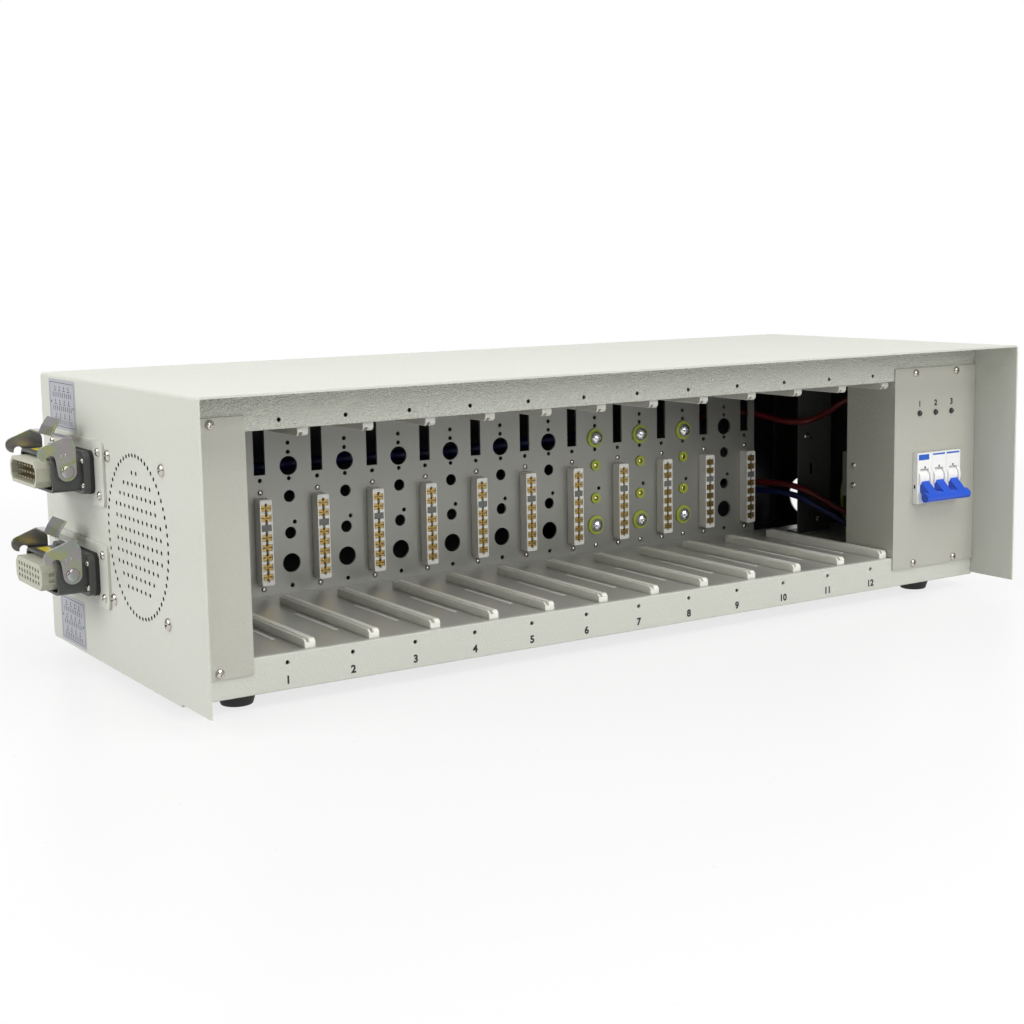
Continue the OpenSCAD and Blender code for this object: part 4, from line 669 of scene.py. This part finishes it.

# Breaker front: a colour bar on each pole; a dark dot on each pole, painted shade for its test hole; and a
# dark patch, painted shade for the slot in its left side
NOSE_Y, NOSE_HALF, POLE = -6.8, 27, 17.6
BARS = (((-19.1, 18.9), (13.0, 5.0)), ((-0.4, 20.65), (15.2, 1.5)), ((17.5, 20.65), (16.2, 1.5)))
BAR_CORNER, BAR_T, HOLE_SHADE_T, DOT, DOT_UP = 0.3, 0.06, 0.05, 2, 9.8
FLANK_BACK, FLANK_UP, FLANK_SLOT, FLANK_CORNER = 3.2, -7.2, (1.8, 3.6), 0.8
BREAKER = middle_of("breaker_body")
nose = drawing(at(BREAKER.x, NOSE_Y, BREAKER.z), X, Z)
bars, marks = bmesh.new(), bmesh.new()
for middle, size in BARS:
    plate(bars, nose, middle, size, BAR_CORNER, SUNK, BAR_T)
for k in (-1, 0, 1):
    plate(marks, nose, (k * POLE, DOT_UP), (DOT, DOT), DOT / 2, SUNK, HOLE_SHADE_T)
flank = drawing(at(BREAKER.x - NOSE_HALF, NOSE_Y + FLANK_BACK, BREAKER.z + FLANK_UP), Y * -1, Z)
plate(marks, flank, (0, 0), FLANK_SLOT, FLANK_CORNER, SUNK, HOLE_SHADE_T)
piece("breaker_bars", bars, "blue_print")
piece("breaker_hole_shades", marks, "ink_and_hole_shade")

# Camera at the photograph's place: pixels are those of its 1024 by 1024 frame
FRAME_PX, FOCAL_PX, CENTRE_PX, SENSOR_MM = 1024, 1674.07, (534.18, 487.16), 36
CAMERA_AT = at(-785.51, -1041.07, 308.56)
yaw, pitch, roll = math.radians(33.4537), math.radians(7.9602), math.radians(-0.8845)
lens = bpy.data.cameras.new("photo_camera")
lens.sensor_width = SENSOR_MM
lens.lens = SENSOR_MM * FOCAL_PX / FRAME_PX
lens.shift_x = (FRAME_PX / 2 - CENTRE_PX[0]) / FRAME_PX
lens.shift_y = (CENTRE_PX[1] - FRAME_PX / 2) / FRAME_PX
lens.clip_start, lens.clip_end = 0.05, 50
camera = bpy.data.objects.new("photo_camera", lens)
camera.matrix_world = (Matrix.Translation(CAMERA_AT) @ Matrix.Rotation(-yaw, 4, "Z")
                       @ Matrix.Rotation(math.pi / 2 - pitch, 4, "X") @ Matrix.Rotation(roll, 4, "Z"))
bpy.context.scene.collection.objects.link(camera)
bpy.context.scene.camera = camera


# Floor and studio light, in metres
FLOOR_HALF, FADE_STRETCH, FADE_SPAN, FADE_LEAST = 6.0, (0.75, 1, 1), (0.62, 1.15), 0.75


def white_out(made):
    """Fades a floor's material to white away from the object, for what the eye and mirrors see of it.
    A part of the shade stays on it at the object's foot."""
    n, tree = Nodes(made.node_tree), made.node_tree
    shader, output = tree.nodes["Principled BSDF"], tree.nodes["Material Output"]
    stretched = n.add("ShaderNodeVectorMath", {0: n.place(), 1: FADE_STRETCH}, operation="MULTIPLY")
    distance = n.add("ShaderNodeVectorMath", {0: stretched.outputs[0]}, operation="LENGTH")
    fade = n.ease(distance.outputs["Value"], FADE_SPAN, (FADE_LEAST, 1.0))
    ray = n.add("ShaderNodeLightPath").outputs
    mirrored = n.math("MAXIMUM", ray["Is Glossy Ray"], ray["Is Transmission Ray"])
    seen = n.math("MAXIMUM", ray["Is Camera Ray"], mirrored)
    white = n.add("ShaderNodeEmission", {"Strength": 1.0})
    mix = n.add("ShaderNodeMixShader",
                {0: n.math("MULTIPLY", fade, seen), 1: shader.outputs[0], 2: white.outputs[0]})
    tree.links.new(mix.outputs[0], output.inputs["Surface"])


def pale_floor():
    bm = bmesh.new()
    bmesh.ops.create_grid(bm, x_segments=8, y_segments=8, size=FLOOR_HALF)
    mesh = bpy.data.meshes.new("floor")
    bm.to_mesh(mesh)
    bm.free()
    pale = material("pale_floor", (0.66, 0.66, 0.66), 0.30, grain=(60, 0.02), tint=(2, 0.01))
    white_out(pale)
    mesh.materials.append(pale)
    floor = bpy.data.objects.new("floor", mesh)
    bpy.context.scene.collection.objects.link(floor)


def softbox(name, place, aim, size, power):
    light = bpy.data.lights.new(name, "AREA")
    light.shape = "RECTANGLE"
    light.size, light.size_y = size
    light.energy = power
    lamp = bpy.data.objects.new(name, light)
    lamp.location = place
    lamp.rotation_euler = (Vector(aim) - Vector(place)).to_track_quat("-Z", "Y").to_euler()
    bpy.context.scene.collection.objects.link(lamp)


def studio_world():
    """A white sweep behind the object, a dimmer room in front and at its left, soft light from above."""
    world = bpy.data.worlds.new("studio")
    world.use_nodes = True
    n = Nodes(world.node_tree)
    way = n.add("ShaderNodeSeparateXYZ", {0: n.add("ShaderNodeTexCoord").outputs["Generated"]}).outputs
    behind = n.ease(way["Y"], span=(-0.15, 0.45), ends=(0.22, 1.0))
    above = n.ease(way["Z"], span=(0.2, 0.9), ends=(0.0, 0.5))
    aside = n.ease(way["X"], span=(-0.35, 0.15), ends=(0.3, 1.0))
    sky = world.node_tree.nodes["Background"].inputs
    sky["Color"].default_value = (1, 1, 1, 1)
    strength = n.math("MAXIMUM", n.math("MULTIPLY", behind, aside), above)
    world.node_tree.links.new(strength, sky["Strength"])
    bpy.context.scene.world = world


pale_floor()
studio_world()
softbox("overhead", place=(0.1, -1.1, 2.0), aim=(0, 0, 0.1), size=(2.6, 1.8), power=38)
softbox("front_key", place=(0.35, -2.45, 0.95), aim=(0, 0, 0.1), size=(1.8, 0.8), power=26)
softbox("left_fill", place=(-2.3, 0.35, 1.2), aim=(-0.3, 0, 0.1), size=(1.6, 1.3), power=38)
bpy.context.scene.view_settings.view_transform = "Standard"
